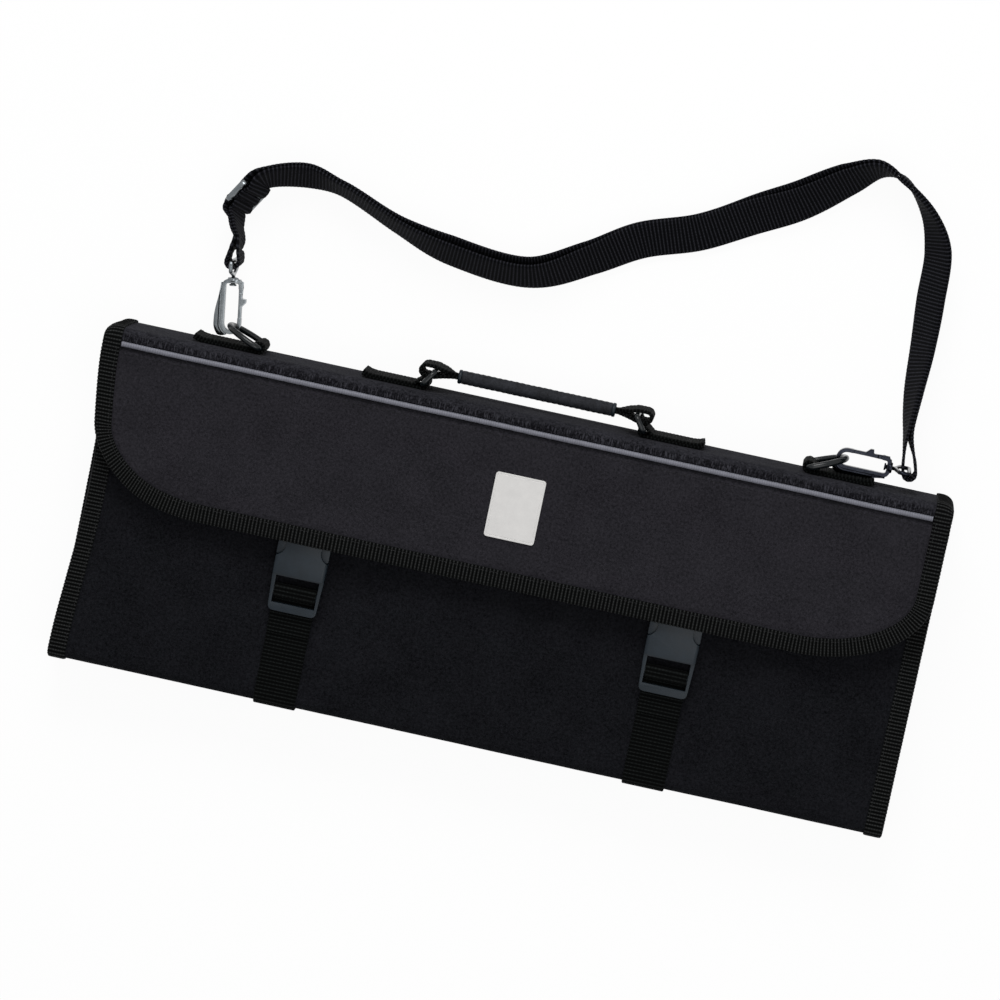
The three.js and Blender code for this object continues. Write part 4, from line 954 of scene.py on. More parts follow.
def lean(x, y, z):
    """A place after the rounding of the spine's ends and the lean of the left end."""
    point = Vector((x, y, z))
    from_end = abs(point.x) - (HALF_LONG - SPINE_ROUND)
    past = point.y - (HALF_WIDE + 1 - SPINE_ROUND)
    if from_end > 0 and past > 0:
        left = math.sqrt(1 - min(0.96, from_end / (SPINE_ROUND + 1)) ** 2)
        point = point - Y_AXIS * past * (1 - left)
    near = ease((LEAN_START - point.x) / LEAN_SPAN)
    if not near:
        return point
    if point.y < LEAN_MIDDLE:
        shift = LEAN_IN * ease((point.y + 101) / 105)
    else:
        shift = LEAN_IN - LEAN_BACK * ease((point.y - LEAN_MIDDLE) / 83)
    return point + X_AXIS * shift * near * ease((point.z - 5) / 32)


def swell(x, y, z, height=0.35):
    """How far the cloth stands off its board, always outward."""
    slow = uneven(x / 47, y / 38, z / 38)
    fine = uneven(x / 13, y / 11 + 9, z / 11)
    return height * (0.5 + 0.5 * slow) + height * 0.25 * (0.5 + 0.5 * fine)


def stepped(half, k, steps):
    """The k-th of equal steps from one end to the other."""
    return -half + 2 * half * k / steps


def clothed(outer, inner, step, ripple=None, height=0.35):
    """A board's cloth between the end walls: its outer line, then its inner line."""
    face, face_long = evenly(outer, 1.6)
    back, back_long = evenly(inner, 4.0)
    ways = outward(face)
    columns = round(2 * BOARD_END / step)

    def place(i, j):
        x = stepped(BOARD_END, i, columns)
        if j >= len(face):
            return lean(x, *back[j - len(face)])
        (y, z), way = face[j], ways[j]
        off = swell(x, y, z, height) * min(1.0, j / 3, (len(face) - 1 - j) / 3)
        if ripple:
            off += ripple(x, y, z)
        return lean(x, y + way.x * off, z + way.y * off)

    return skin(columns, len(face) + len(back), place, 2 * BOARD_END, face_long + back_long)


print("the cloth swells up to", round(max(swell(x, 0, 30) for x in range(-240, 240, 7)), 2), "mm")

# %% [markdown]
# The front board and the bottom board are one sheet of cloth that turns over
# the front's rounded edge. The sheet is drawn in section, from the lip under
# the flap, forward over the front, round the edge and down to the table.

# %% Cloth of the front and the bottom
BOARD = 5
LIP_Y = 48
FRONT_TOP = 37.5
FRONT_ROUND = 6
WALL_FOOT = 6.5
INSIDE = HALF_WIDE - BOARD

front_out = rounded([(LIP_Y, FRONT_TOP), (-HALF_WIDE, FRONT_TOP, FRONT_ROUND), (-HALF_WIDE, WALL_FOOT)])
front_in = rounded([(-INSIDE, WALL_FOOT), (-INSIDE, FRONT_TOP - BOARD, 1), (LIP_Y, FRONT_TOP - BOARD)])
front_skin = clothed(front_out[::-1], front_in[::-1], step=3.2)
dressed("front_cloth", front_skin, SHADED_CASE_CANVAS, "case_cloth", "front_panel", "bottom_board")

# %% [markdown]
# The back board is the large one that the case lies on. Its cloth rounds two
# long edges and lies flat, without a swell.

# %% Cloth of the back
BACK_LOW, BACK_TOP = 1.1, 6.1
BACK_ROUND = 4.4

back_out = rounded([(HALF_WIDE, BACK_TOP), (HALF_WIDE, BACK_LOW, BACK_ROUND),
                    (-HALF_WIDE, BACK_LOW, BACK_ROUND), (-HALF_WIDE, BACK_TOP)])
back_in = [Vector((sign * (HALF_WIDE - 0.1), BACK_TOP)) for side, sign in SIDES]
back_skin = clothed(back_out, back_in, step=6.0, height=0.0)
dressed("back_cloth", back_skin, SHADED_CASE_CANVAS, "case_cloth", "back_board")

# %% [markdown]
# The spine's cloth rolls over the top edge and is pulled under the welt. The
# pull gathers it into fine short strokes that start at the welt and die out
# down the roll. They are narrow ridges, so this cloth has a much finer grid.

# %% Cloth of the spine, gathered at the welt
SPINE_ROLL = (94.4, 42.5)
ROLL_OUT, ROLL_IN = 7.1, 2.1
GATHER_DEPTH = 0.3


def gathers(x, y, z):
    """Ridges about 2 mm apart that fade from the welt down the roll."""
    if z < 40:
        return 0.0
    turn = math.degrees(math.atan2(z - SPINE_ROLL[1], y - SPINE_ROLL[0]))
    reach = 0.72 + 0.28 * uneven(x / 3.1, 4, 0)
    fade = ease((turn - 90 * (1 - reach)) / (90 * reach))
    stroke = uneven(x / 1.25, 7, turn / 160) + 0.45 * uneven(x / 0.7, 2, turn / 90)
    return GATHER_DEPTH * fade * stroke - 0.1 * fade


spine_out = [*arc(SPINE_ROLL, ROLL_OUT, 90, 0, 18), Vector((HALF_WIDE, 20)), Vector((HALF_WIDE, WALL_FOOT))]
spine_in = [Vector((INSIDE, WALL_FOOT)), *arc(SPINE_ROLL, ROLL_IN, 0, 90, 6)]
spine_skin = clothed(spine_out, spine_in, step=0.62, ripple=gathers, height=0.3)
dressed("spine_cloth", spine_skin, LIT_SPINE_CANVAS, "case_cloth", "spine_board", corner=70)

# %% [markdown]
# An end wall is a board with flat cloth, and its outline is one closed line.
# It is drawn in columns, each from the outline's low side to its high side,
# so that the cloth can crown a little between them.

# %% Cloth of the two end walls
FLAP_SEAT = 45.2
SEAT_Y = 84
END_ROUND = 4.5
END_BOARD = 4.0
END_OUT = 252.9
CROWN = 0.5
WALL_COLUMNS = 150
WALL_ROWS = 16

end_line = rounded([(SPINE_ROLL[0], FLAP_SEAT), (SEAT_Y, FLAP_SEAT), (LIP_Y, FRONT_TOP),
                    (-HALF_WIDE, FRONT_TOP, FRONT_ROUND), (-HALF_WIDE, BACK_LOW, END_ROUND),
                    (HALF_WIDE, BACK_LOW, END_ROUND), (HALF_WIDE, SPINE_ROLL[1])], closed=True)
end_line += arc(SPINE_ROLL, ROLL_OUT, 0, 90, 12)[1:]


def crossings(line, y):
    """The lowest and highest points of a closed line at a distance y."""
    heights = []
    for first, second in zip(line, line[1:] + line[:1]):
        if min(first.x, second.x) <= y <= max(first.x, second.x):
            span = second.x - first.x
            if abs(span) <= 1e-9:
                heights += [first.y, second.y]
            else:
                heights.append(first.y + (second.y - first.y) * ((y - first.x) / span))
    return min(heights), max(heights)


just_inside = HALF_WIDE - 0.001
wall_columns = [-HALF_WIDE * math.cos(math.pi * k / WALL_COLUMNS) for k in range(WALL_COLUMNS + 1)]
wall_spans = [crossings(end_line, min(just_inside, max(-just_inside, y))) for y in wall_columns]


def end_wall(sign):
    """The cloth of an end wall, crowned outside and plain inside."""
    def place(i, j):
        y = wall_columns[i]
        low, high = wall_spans[i]
        if j < WALL_ROWS:
            share = j / (WALL_ROWS - 1)
            out = CROWN * ease(math.sin(math.pi * share)) * ease((HALF_WIDE - abs(y)) / 14)
        else:
            share = 1 - (j - WALL_ROWS) / (WALL_ROWS - 1)
            out = -END_BOARD
        return lean(sign * (END_OUT - 0.2 + out), y, low + (high - low) * share)

    return skin(WALL_COLUMNS, 2 * WALL_ROWS, place, 2 * HALF_WIDE, 80)


for side, sign in SIDES:
    dressed(f"end_cloth_{side}", end_wall(sign), SHADED_CASE_CANVAS, "case_cloth", f"end_wall_{side}", corner=50)

# %% [markdown]
# Binding tape is a grosgrain: thin, with a rib every 2.2 mm. It is folded
# over an edge and sewn through. A section is drawn once, its outside line
# and then its inside line a tape's thickness below, and each point knows
# which way a rib would lift it. That section is then carried along the edge.

# %% The section of a folded tape
TAPE_THICK = 0.8
RIB_HEIGHT = 0.32


def folded(line, step=1.3, thick=TAPE_THICK):
    """Points of (place, lift) round a tape whose outside is on the line's left."""
    face, length = evenly(line, step)
    ways = outward(face)
    last = len(face) - 1
    outside = [(place, way * min(1.0, k, last - k)) for k, (place, way) in enumerate(zip(face, ways))]
    inside = [(place - way * thick, way * 0) for place, way in zip(face, ways)][::-1]
    return outside + inside, 2 * (length + thick)


def rib(i):
    return row_height(i, RIB_HEIGHT)


def proud(point, height):
    """A point of the section, lifted by the height of a rib."""
    (a, b), lift = point
    return a + lift.x * height, b + lift.y * height


print("a fold of tape has", len(folded(rounded([(0, 0), (10, 0, 1), (10, -8)]))[0]), "points round it")

# %% [markdown]
# The tape round an end goes along the boards, over the corner and onto the
# end's face. Its inner edge there follows a plain polygon, so the tape fans a
# little at each corner, as a real one is eased round. Where it caps the
# spine's roll it is ironed smoother.

# %% The two end tapes
END_FACE = [(-92.5, 10.1), (92.5, 10.1), (92.5, 36.2), (SEAT_Y, 36.2), (LIP_Y, 28.5), (-92.5, 28.5)]
CAP_EDGE = 92.4
FACE_REACH = 9
TAPE_REACH = 10.7
TAPE_LIFT = 1.05
cap_line = [Vector((CAP_EDGE, place.y)) if abs(place.x - SPINE_ROLL[0]) < 0.01 else place
            for place in end_line]


def nearest_on(polygon, point):
    """The closest point to a point on a closed polygon."""
    found = []
    for k, corner in enumerate(polygon):
        first, second = Vector(corner), Vector(polygon[(k + 1) % len(polygon)])
        side = second - first
        share = min(1.0, max(0.0, (point - first).dot(side) / side.dot(side)))
        found.append(first + side * share)
    return min(found, key=lambda here: (here - point).length)


def end_tape(sign):
    """The binding of one end, carried round the end wall's outline."""
    rim, around = evenly(cap_line, RIB_STEP, closed=True)
    rim = rim[:len(rim) - len(rim) % STEPS_A_ROW]
    middle = Vector((0, 24))
    ways = [way if way.dot(place - middle) > 0 else -way
            for way, place in zip(outward(rim, closed=True, spread=3), rim)]
    feet = [nearest_on(END_FACE, place) for place in rim]
    section, wide = folded(rounded([(-TAPE_REACH, TAPE_LIFT), (0, TAPE_LIFT, 1.2), (0, -FACE_REACH)]))

    def place(i, j):
        base, way, foot = rim[i], ways[i], feet[i]
        on_roll = ease((base.x - SEAT_Y) / 9) * ease((base.y - 38) / 4)
        out, up = proud(section[j], rib(i) * (1 - 0.75 * on_roll) + 0.12 * uneven(i / 37, sign, 0))
        at = base + way * up if up >= 0 else base.lerp(foot, -up / FACE_REACH)
        return lean(sign * (HALF_LONG + out), at.x, at.y)

    return skin(len(rim), len(section), place, around, wide, ring_along=True)


for side, sign in SIDES:
    dressed(f"end_binding_{side}", end_tape(sign), TAPE, "ribbed_tape", f"end_tape_{side}")

# %% [markdown]
# The same tape folds over the front board's lip, where the flap covers it.

# %% The lip's tape
LIP_HALF = 243
LIP_HIGH, LIP_LOW = 38.6, 31.4
LIP_BACK, LIP_EDGE = 40, 49.1
lip_section, lip_wide = folded(rounded([
    (LIP_BACK, LIP_HIGH), (LIP_EDGE, LIP_HIGH, 1), (LIP_EDGE, LIP_LOW, 1), (LIP_BACK, LIP_LOW)]))
lip_steps = round(2 * LIP_HALF / RIB_STEP)


def lip_place(i, j):
    return lean(stepped(LIP_HALF, i, lip_steps), *proud(lip_section[j], rib(i)))


lip_skin = skin(lip_steps, len(lip_section), lip_place, 2 * LIP_HALF, lip_wide)
dressed("lip_binding", lip_skin, TAPE, "ribbed_tape", "front_lip_tape")

# %% [markdown]
# The flap is a thin foam pad under cloth. Its outline has two deep rounded
# corners. The pad is drawn in columns from the low edge to the hinge, and a
# search tree finds how far each point is from the edge. The height follows
# from that: thin under the binding, then a soft step up to a full, even face.

# %% The flap's outline and pad
FLAP_LOW = -2.0
FLAP_TOP = 90.8
FLAP_CORNER = (75.0, 47.0)
UNDER_TAPE = 49.9
PAD_EDGE = 1.2
PAD_UNDERSIDE = 47.35
PAD_ROWS = 56
UNDER_ROWS = 12
SEAM_Y = 89.2


def flap_line(inset, top=FLAP_TOP):
    """The flap's edge at an inset, from the left of the hinge round to its right."""
    half, low = HALF_LONG - inset, FLAP_LOW + inset
    reach, tall = FLAP_CORNER[0] - inset, FLAP_CORNER[1] - inset
    left = arc((-half + reach, low + tall), reach, 180, 270, 48, tall)
    right = arc((half - reach, low + tall), reach, 270, 360, 48, tall)
    return [Vector((-half, top)), *left, *right, Vector((half, top))]


edge_points = evenly(flap_line(0), 0.5)[0]
edge_tree = kdtree.KDTree(len(edge_points))
for k, place_on_edge in enumerate(edge_points):
    edge_tree.insert((*place_on_edge, 0), k)
edge_tree.balance()
pad_low = evenly(flap_line(PAD_EDGE)[1:-1], 2.0)[0]


def pad_height(x, y):
    """The height of the flap's face at a place, in millimetres."""
    edge = edge_tree.find((x, y, 0))[2]
    rise = 1.0 * ease((edge - 9.9) / 2.4) + 0.12 * ease((edge - 12) / 25)
    cloth = 0.22 * uneven(x / 55, y / 40, 3) * ease((edge - 11) / 12)
    seam = 0.75 * math.exp(-((y - SEAM_Y) / 0.9) ** 2) + 0.35 * ease((y - SEAM_Y) / 1.2)
    return UNDER_TAPE + rise + cloth - seam


def pad_place(i, j):
    low = pad_low[i]
    if j < PAD_ROWS:
        y = low.y + (FLAP_TOP - low.y) * j / (PAD_ROWS - 1)
        return lean(low.x, y, pad_height(low.x, y))
    y = FLAP_TOP + (low.y - FLAP_TOP) * ((j - PAD_ROWS) / (UNDER_ROWS - 1))
    edge = edge_tree.find((low.x, y, 0))[2]
    return lean(low.x, y, PAD_UNDERSIDE + 0.5 * (1 - ease((edge - 9) / 3)))


pad_skin = skin(len(pad_low) - 1, PAD_ROWS + UNDER_ROWS, pad_place, 506, 190)
pad = dressed("flap_pad", pad_skin, FLAP_CANVAS, "flap_cloth", "flap_panel", corner=60)

# %% [markdown]
# The flap's binding folds over the edge like the others. It is wider than
# the pad is thick, so from above it shows as a ribbed border.

# %% The flap's binding
BINDING_TOP = 93.3
RIM_REACH = 10.7
RIM_HIGH, RIM_LOW = 51.1, 46.7
flap_rim, rim_long = evenly(flap_line(0, BINDING_TOP), RIB_STEP)
rim_ways = outward(flap_rim, spread=3)
flap_section, flap_wide = folded(rounded([
    (RIM_REACH, RIM_HIGH - 0.6), (RIM_REACH - 0.5, RIM_HIGH, 0.4), (0.2, RIM_HIGH, 1.4),
    (0.2, RIM_LOW, 1.4), (RIM_REACH, RIM_LOW)])[::-1])


def rim_place(i, j):
    base, way = flap_rim[i], rim_ways[i]
    inward, z = proud(flap_section[j], rib(i) + 0.1 * uneven(i / 41, 5, 0))
    at = base + way * inward
    return lean(at.x, at.y, z)


rim_skin = skin(len(flap_rim) - 1, len(flap_section), rim_place, rim_long, flap_wide)
dressed("flap_binding", rim_skin, TAPE, "ribbed_tape", "flap_tape")

# %% [markdown]
# The welt is a cord wrapped in pale satin, sewn in where the flap meets the
# spine. A strip of cloth under it is the real hinge between the case and the
# flap.

# %% Welt and hinge cloth
WELT_LONG = 485.4
WELT_STEPS = 970
WELT_ROUND = 16
WELT_RADIUS = 1.55
WELT_LAY = 1.4
WELT_Y, WELT_Z = 92.6, 50.4
HINGE_HALF = 242
HINGE_STEPS = 160


def welt_place(i, j):
    angle = 2 * math.pi * j / WELT_ROUND
    x = stepped(WELT_LONG / 2, i, WELT_STEPS)
    radius = WELT_RADIUS + 0.06 * uneven(x / 4, 0, 0) + 0.05 * math.sin(2 * math.pi * x / WELT_LAY + angle)
    drift = 0.25 * uneven(x / 60, 8, 0)
    return lean(x, WELT_Y + drift + radius * math.cos(angle), WELT_Z + radius * math.sin(angle))


welt_skin = skin(WELT_STEPS, WELT_ROUND, welt_place, WELT_LONG, 9.1)
dressed("welt_cord", welt_skin, PIPING, "piping", "welt_piping", corner=80)

hinge_face = rounded([(88.4, 49.2), (90.5, 48.9), (92.6, 48.5), (94.0, 48.9), (95.2, 49.2)])
hinge_section, hinge_wide = folded(hinge_face, step=0.7, thick=0.7)


def hinge_place(i, j):
    return lean(stepped(HINGE_HALF, i, HINGE_STEPS), *hinge_section[j][0])


hinge_skin = skin(HINGE_STEPS, len(hinge_section), hinge_place, 2 * HINGE_HALF, hinge_wide)
hinge = made("hinge_cloth", hinge_skin, SHADED_CASE_CANVAS)
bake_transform(hinge)
print(hinge.name, "has", len(hinge.data.polygons), "faces")

# %% [markdown]
# The label is left bare: a plain pale plate with a shallow border line.

# %% The label
LABEL_HALF = (15.0, 19.5)
LABEL_MIDDLE = (2.5, 46.6)
LABEL_FOOT = 51.2
LABEL_THICK = 0.7
BORDER_STEPS = ((0.12, 0.1), (0.85, 0.0), (0.12, -0.12), (0.28, 0.0), (0.12, 0.12))

outline = box_line((-LABEL_HALF[0], -LABEL_HALF[1]), LABEL_HALF, 1.8)
plate = bmesh.new()
corners = [plate.verts.new(spot(LABEL_MIDDLE[0] + x, LABEL_MIDDLE[1] + y, LABEL_FOOT)) for x, y in outline]
pulled = bmesh.ops.extrude_face_region(plate, geom=[plate.faces.new(corners)])["geom"]
raised = [item for item in pulled if isinstance(item, bmesh.types.BMVert)]
bmesh.ops.translate(plate, verts=raised, vec=Z_AXIS * LABEL_THICK * MM)
bmesh.ops.recalc_face_normals(plate, faces=plate.faces)
top = [item for item in pulled if isinstance(item, bmesh.types.BMFace)]
for width, rise in BORDER_STEPS:
    bmesh.ops.inset_region(plate, faces=top, thickness=width * MM, depth=rise * MM, use_even_offset=True)
dressed("label_bare", plate, LABEL, "label", "label_plate", corner=30)

# %% [markdown]
# The buckles are moulded. Socket, plug and prongs keep their measured shape,
# and their edges are rounded by the small radius that a mould leaves.

# %% Sockets, plugs and prongs
BUCKLES = {"left": -115.1, "right": 109.6}


def buckle_part(name, node_name, radius, segments=2):
    part = rounded_copy(node_name, radius, segments)
    dressed(name, part, BUCKLE, "buckle_plastic", node_name, corner=35)


for side in BUCKLES:
    buckle_part(f"socket_{side}", f"buckle_socket_{side}", 0.45, segments=3)
    buckle_part(f"plug_{side}", f"buckle_plug_{side}", 0.4)
    for place in ("inner", "outer"):
        buckle_part(f"spring_prong_{side}_{place}", f"prong_{side}_{place}", 0.35)

# %% [markdown]
# Each socket hangs on a strap of webbing. It comes up round the case's front
# edge, dives under the socket's end bar, wraps the middle bar and comes back
# over itself. A band along a flat line needs only its section turned with
# the line, so one function makes every such strap.

# %% Webbing in one plane
SLOT_Y = -30.2
BAR_LOW = -34.2
BAR_HEIGHT = 43.0
BAR_REACH = 2.25
STRAP_OUT = -102.55
ON_FRONT = 38.55
OVER_BAR = 40.15
WRAP_Y = SLOT_Y + 1.35
UNDER, OVER = BAR_HEIGHT - BAR_REACH, BAR_HEIGHT + BAR_REACH


def across_case(x):
    """A plane across the case, drawn in its own (y, z), and the side it is seen from."""
    return lambda y, z: (x, y, z), X_AXIS


front_strap = rounded([
    (STRAP_OUT, 11), (STRAP_OUT, ON_FRONT, 7.05), (BAR_LOW - 1.8, ON_FRONT, 1.5), (BAR_LOW + 0.7, UNDER, 1.5),
    (WRAP_Y, UNDER, 1.5), (WRAP_Y, OVER, 1.5), (BAR_LOW - 0.4, OVER, 1.5),
    (BAR_LOW - 2.0, OVER_BAR, 1.2), (BAR_LOW - 23.45, OVER_BAR)])
for side, middle in BUCKLES.items():
    flat_strap(f"front_strap_{side}", f"buckle_strap_{side}", front_strap, across_case(middle), depth=0.2)

# %% [markdown]
# The plug hangs on a short tab that is folded round its end bar and sewn
# under the flap, two plies thick.

# %% Plug tabs
PLUG_Y = 5.0
TAB_END = PLUG_Y + 57
TAB_BEND = PLUG_Y + 22.3
TAB_BAR = PLUG_Y + 16.2
TAB_UPPER, TAB_LOWER = 47.0 - 0.6, 47.0 - 1.8
plug_line = rounded([
    (TAB_END, TAB_UPPER), (TAB_BEND, TAB_UPPER, 1.8), (TAB_BAR, 44.8, 0.9), (TAB_BAR, 39.2, 0.9),
    (TAB_BEND, 39.2, 1.2), (PLUG_Y + 23.5, TAB_LOWER, 1.2), (TAB_END, TAB_LOWER)])
for side, middle in BUCKLES.items():
    flat_strap(f"plug_tab_webbing_{side}", f"plug_tab_{side}", plug_line, across_case(middle), thick=1.2)

# %% [markdown]
# On the spine, four tabs hold the rings. Each is a piece of webbing folded
# round the ring's bar and sewn flat, with its free end curling up.

# %% Spine tabs
HANDLE_BAR, HANDLE_RISE = 66.5, 3.8
HANDLE_ROD, RING_ROD = 3.4, 3.8
HANDLE_TAB, RING_TAB = 36.5, 39.3
LOOP_END = 50


def tab_line(bar, rise, rod, length):
    """A tab's line in plan: along the spine, round the bar, and back on itself."""
    low = SPINE + 0.3 + WEB_THICK / 2
    high = low + WEB_THICK + 0.05
    end = bar + length
    loop = arc((bar, SPINE + rise), rod / 2 + 0.3 + WEB_THICK / 2, 270, LOOP_END, 14)
    meet = loop[-1].x + (loop[-1].y - high) * math.tan(math.radians(LOOP_END))
    outgoing = [Vector((end, low + 1.6)), Vector((end - 3.2, low + 0.45)), Vector((end - 7, low))]
    back = [Vector((end - 7, high)), Vector((end - 3.4, high + 0.45)), Vector((end - 0.4, high + 1.6))]
    return [*outgoing, *loop, Vector((meet, high)), *back]


def in_plan(sign):
    """The level plane of the handle, drawn for one end, and the side it is seen from."""
    return lambda x, y: (sign * x, y, FIX_HEIGHT), Z_AXIS


handle_line = tab_line(HANDLE_BAR, HANDLE_RISE, HANDLE_ROD, HANDLE_TAB)
ring_tab_line = tab_line(RING_BAR, RING_RISE, RING_ROD, RING_TAB)
for side, sign in SIDES:
    for kind, line in (("handle", handle_line), ("ring", ring_tab_line)):
        flat_strap(f"{kind}_tab_webbing_{side}", f"{kind}_tab_{side}", line, in_plan(sign))

# %% [markdown]
# The rings are bent rod, and bright where the room's light runs along them.
# A rod is a grid again: along the ring's closed line, and round the rod.

# %% Rings of rod
RING_HALF_WIDE = 15.2
BEND = 3
HANDLE_REACH = 10
HANDLE_LEAN = 34
ROD_ROUND = 16
HEAD_START = 3.8


def ring_of_rod(name, points, radius, normal, node_name):
    """A rod bent into a closed flat line."""
    line, length = evenly(points, 0.8, closed=True)
    ways = headings(line, closed=True)

    def place(i, j):
        way = ways[i]
        side = (normal - way * normal.dot(way)).normalized()
        up = way.cross(side)
        angle = 2 * math.pi * j / ROD_ROUND
        return line[i] + side * radius * math.cos(angle) + up * radius * math.sin(angle)

    bm = skin(len(line), ROD_ROUND, place, length, 2 * math.pi * radius, ring_along=True)
    dressed(name, bm, RING, "ring_plastic", node_name, corner=60)


def standing_line(sign, bar, rise, flat_line, degrees):
    """A ring's line with its foot on the bar and its head leaning off the spine."""
    angle = math.radians(degrees)
    way = Vector((sign * math.cos(angle), math.sin(angle), 0))
    foot = Vector((sign * bar, SPINE + rise, FIX_HEIGHT))
    return [foot + way * place.x + Z_AXIS * place.y for place in flat_line], way.cross(Z_AXIS)


half = RING_HALF_WIDE
handle_ring = box_line((0, -half), (HANDLE_REACH, half), BEND)
strap_ring = rounded([(HEAD_START, -half), (0, -half, BEND), (0, half, BEND), (HEAD_START, half)])
strap_ring += arc((HEAD_START, 0), RING_REACH - HEAD_START, 90, -90, 36, tall=half)[1:-1]
for side, sign in SIDES:
    line, normal = standing_line(sign, HANDLE_BAR, HANDLE_RISE, handle_ring, 90 + HANDLE_LEAN)
    ring_of_rod(f"handle_ring_rod_{side}", line, HANDLE_ROD / 2, normal, f"handle_ring_{side}")
    line, normal = standing_line(sign, RING_BAR, RING_RISE, strap_ring, RING_LEAN)
    ring_of_rod(f"strap_ring_rod_{side}", line, RING_ROD / 2, normal, f"strap_ring_{side}")

# %% [markdown]
# The handle is a band of webbing with a loop at each end. Between the loops
# it is folded small and runs inside a soft round grip. So the band's width
# changes along its line, from a full loop to a narrow neck.

# %% Handle loops
LOOP_WIDE = 24.0
NECK_WIDE = 5.2
LOOP_RADIUS = 1.7 + 0.45 + 0.95
LOOP_START = HANDLE_BAR - HANDLE_REACH * math.sin(math.radians(HANDLE_LEAN))
LOOP_Y = SPINE + HANDLE_RISE + HANDLE_REACH * math.cos(math.radians(HANDLE_LEAN))
GRIP_Y = SPINE + 11.3


def neck(way):
    """One ply's way out of the grip and up to the loop."""
    return [Vector((45, GRIP_Y + way * 0.72)), Vector((49.5, GRIP_Y + way * 0.75)),
            Vector((LOOP_START - 5.5, LOOP_Y + way * 1.7))]


loop_line = [*neck(-1), *arc((LOOP_START, LOOP_Y), LOOP_RADIUS, 235, 270, 4),
             *arc((HANDLE_BAR, LOOP_Y), LOOP_RADIUS, -90, 90, 16),
             *arc((LOOP_START, LOOP_Y), LOOP_RADIUS, 90, 125, 4), *neck(1)[::-1]]
for side, sign in SIDES:
    stations, length = station_line(loop_line, ROW_STEP, in_plan(sign))
    widths = [NECK_WIDE + (LOOP_WIDE - NECK_WIDE) * ease((abs(centre.x) - 48.5) / 8.5)
              for centre, way, out in stations]
    band = woven_band(stations, length, wide=LOOP_WIDE, thick=1.9, depth=0.15, widths=widths)
    if side == "left":
        dressed(f"handle_loop_{side}", band, WEBBING, "webbing", "handle_webbing")
    else:
        riding(made(f"handle_loop_{side}", band, WEBBING), "handle_webbing")

# %% [markdown]
# The grip is a foam rubber tube. Its skin has shallow rings left by turning,
# its ends are rounded, and a hard collar closes each end on the webbing.

# %% Grip and collars
GRIP_HALF = 47.5
GRIP_BORE = 2.9
GRIP_RADIUS = 4.0
GRIP_RINGS = 3.4
GRIP_STEPS = 180


def lathed(profile, sign=1):
    """A closed profile of (along, radius) turned round the handle's line."""
    bm = bmesh.new()
    line = [bm.verts.new(spot(sign * along, GRIP_Y + radius, FIX_HEIGHT)) for along, radius in profile]
    edges = [bm.edges.new(pair) for pair in zip(line, line[1:] + line[:1])]
    bmesh.ops.spin(bm, geom=line + edges, cent=spot(0, GRIP_Y, FIX_HEIGHT), axis=X_AXIS,
                   angle=2 * math.pi, steps=40, use_merge=True)
    bmesh.ops.recalc_face_normals(bm, faces=bm.faces)
    return bm


def grip_radius(along):
    turned = 0.09 * math.sin(2 * math.pi * along / GRIP_RINGS)
    return GRIP_RADIUS + turned + 0.1 * uneven(along / 9, 0, 0)


grip_start = -GRIP_HALF + 3.2
grip_steps = [grip_start + (2 * GRIP_HALF - 6.4) * k / (GRIP_STEPS - 1) for k in range(GRIP_STEPS)]
grip_end = [(GRIP_HALF - 2.7, GRIP_RADIUS), (GRIP_HALF - 2.2, 3.75), (GRIP_HALF - 2.2, GRIP_BORE)]
grip_profile = [(-along, radius) for along, radius in grip_end[::-1]]
grip_profile += [(along, grip_radius(along)) for along in grip_steps] + grip_end
dressed("handle_grip_tube", lathed(grip_profile), GRIP, "grip_rubber", "handle_grip", corner=50)
collar_profile = [(GRIP_HALF - 2.1, GRIP_BORE), (GRIP_HALF - 2.1, 3.8), (GRIP_HALF - 1.7, 4.2),
                  (GRIP_HALF - 0.5, 4.2), (GRIP_HALF, 3.7), (GRIP_HALF, GRIP_BORE)]
for side, sign in SIDES:
    collar = made(f"grip_collar_{side}", lathed(collar_profile, sign), BUCKLE, corner=50)
    riding(collar, "handle_grip")

# %% [markdown]
# The snap hooks are die-cast and then plated. Casting leaves no crisp edge
# anywhere, so each measured part is rebuilt as a fine even mesh and smoothed,
# which rounds all its edges and runs its joints together. It is taken in a
# little on the way, because the plated rod is slim to the eye. The gate's
# tip is then drawn out again until it meets the hook's nose.

# %% A cast part
TIP_START = 4.3
TIP_LONG = 4.0
TIP_DRAWN = 1.2


def cast(name, node_name, material, grain, slim, passes=4):
    """An even, softened copy of a measured part, taken in by slim all over."""
    source = bpy.data.objects.new(name + "_rough", frame["nodes"][node_name].data.copy())
    scene.collection.objects.link(source)
    remesh = source.modifiers.new("even", "REMESH")
    remesh.mode = "VOXEL"
    remesh.voxel_size = grain * MM
    bpy.context.view_layer.update()
    finished = source.evaluated_get(bpy.context.evaluated_depsgraph_get())
    bm = bmesh.new()
    bm.from_mesh(finished.to_mesh())
    bpy.data.objects.remove(source)
    for turn in range(2 * passes):
        bmesh.ops.smooth_vert(bm, verts=bm.verts, factor=0.5,
                              use_axis_x=True, use_axis_y=True, use_axis_z=True)
        if turn == passes:
            bm.normal_update()
            for vert in bm.verts:
                vert.co -= vert.normal * slim * MM
    return dressed(name, bm, material, "hook_metal", node_name, corner=75)


def draw_out(gate, bend, way):
    """The gate's free end grows towards the hook's nose."""
    for vert in gate.data.vertices:
        s = (vert.co - spot(*bend)).dot(way) / MM
        vert.co -= way * TIP_DRAWN * MM * ease((TIP_START + TIP_LONG - s) / TIP_LONG)


print("a gate's tip grows by", TIP_DRAWN, "mm")

# %% [markdown]
# Along its back each hook has a thin cast wall that grows wider towards the
# bend. A groove parts it from the rod.

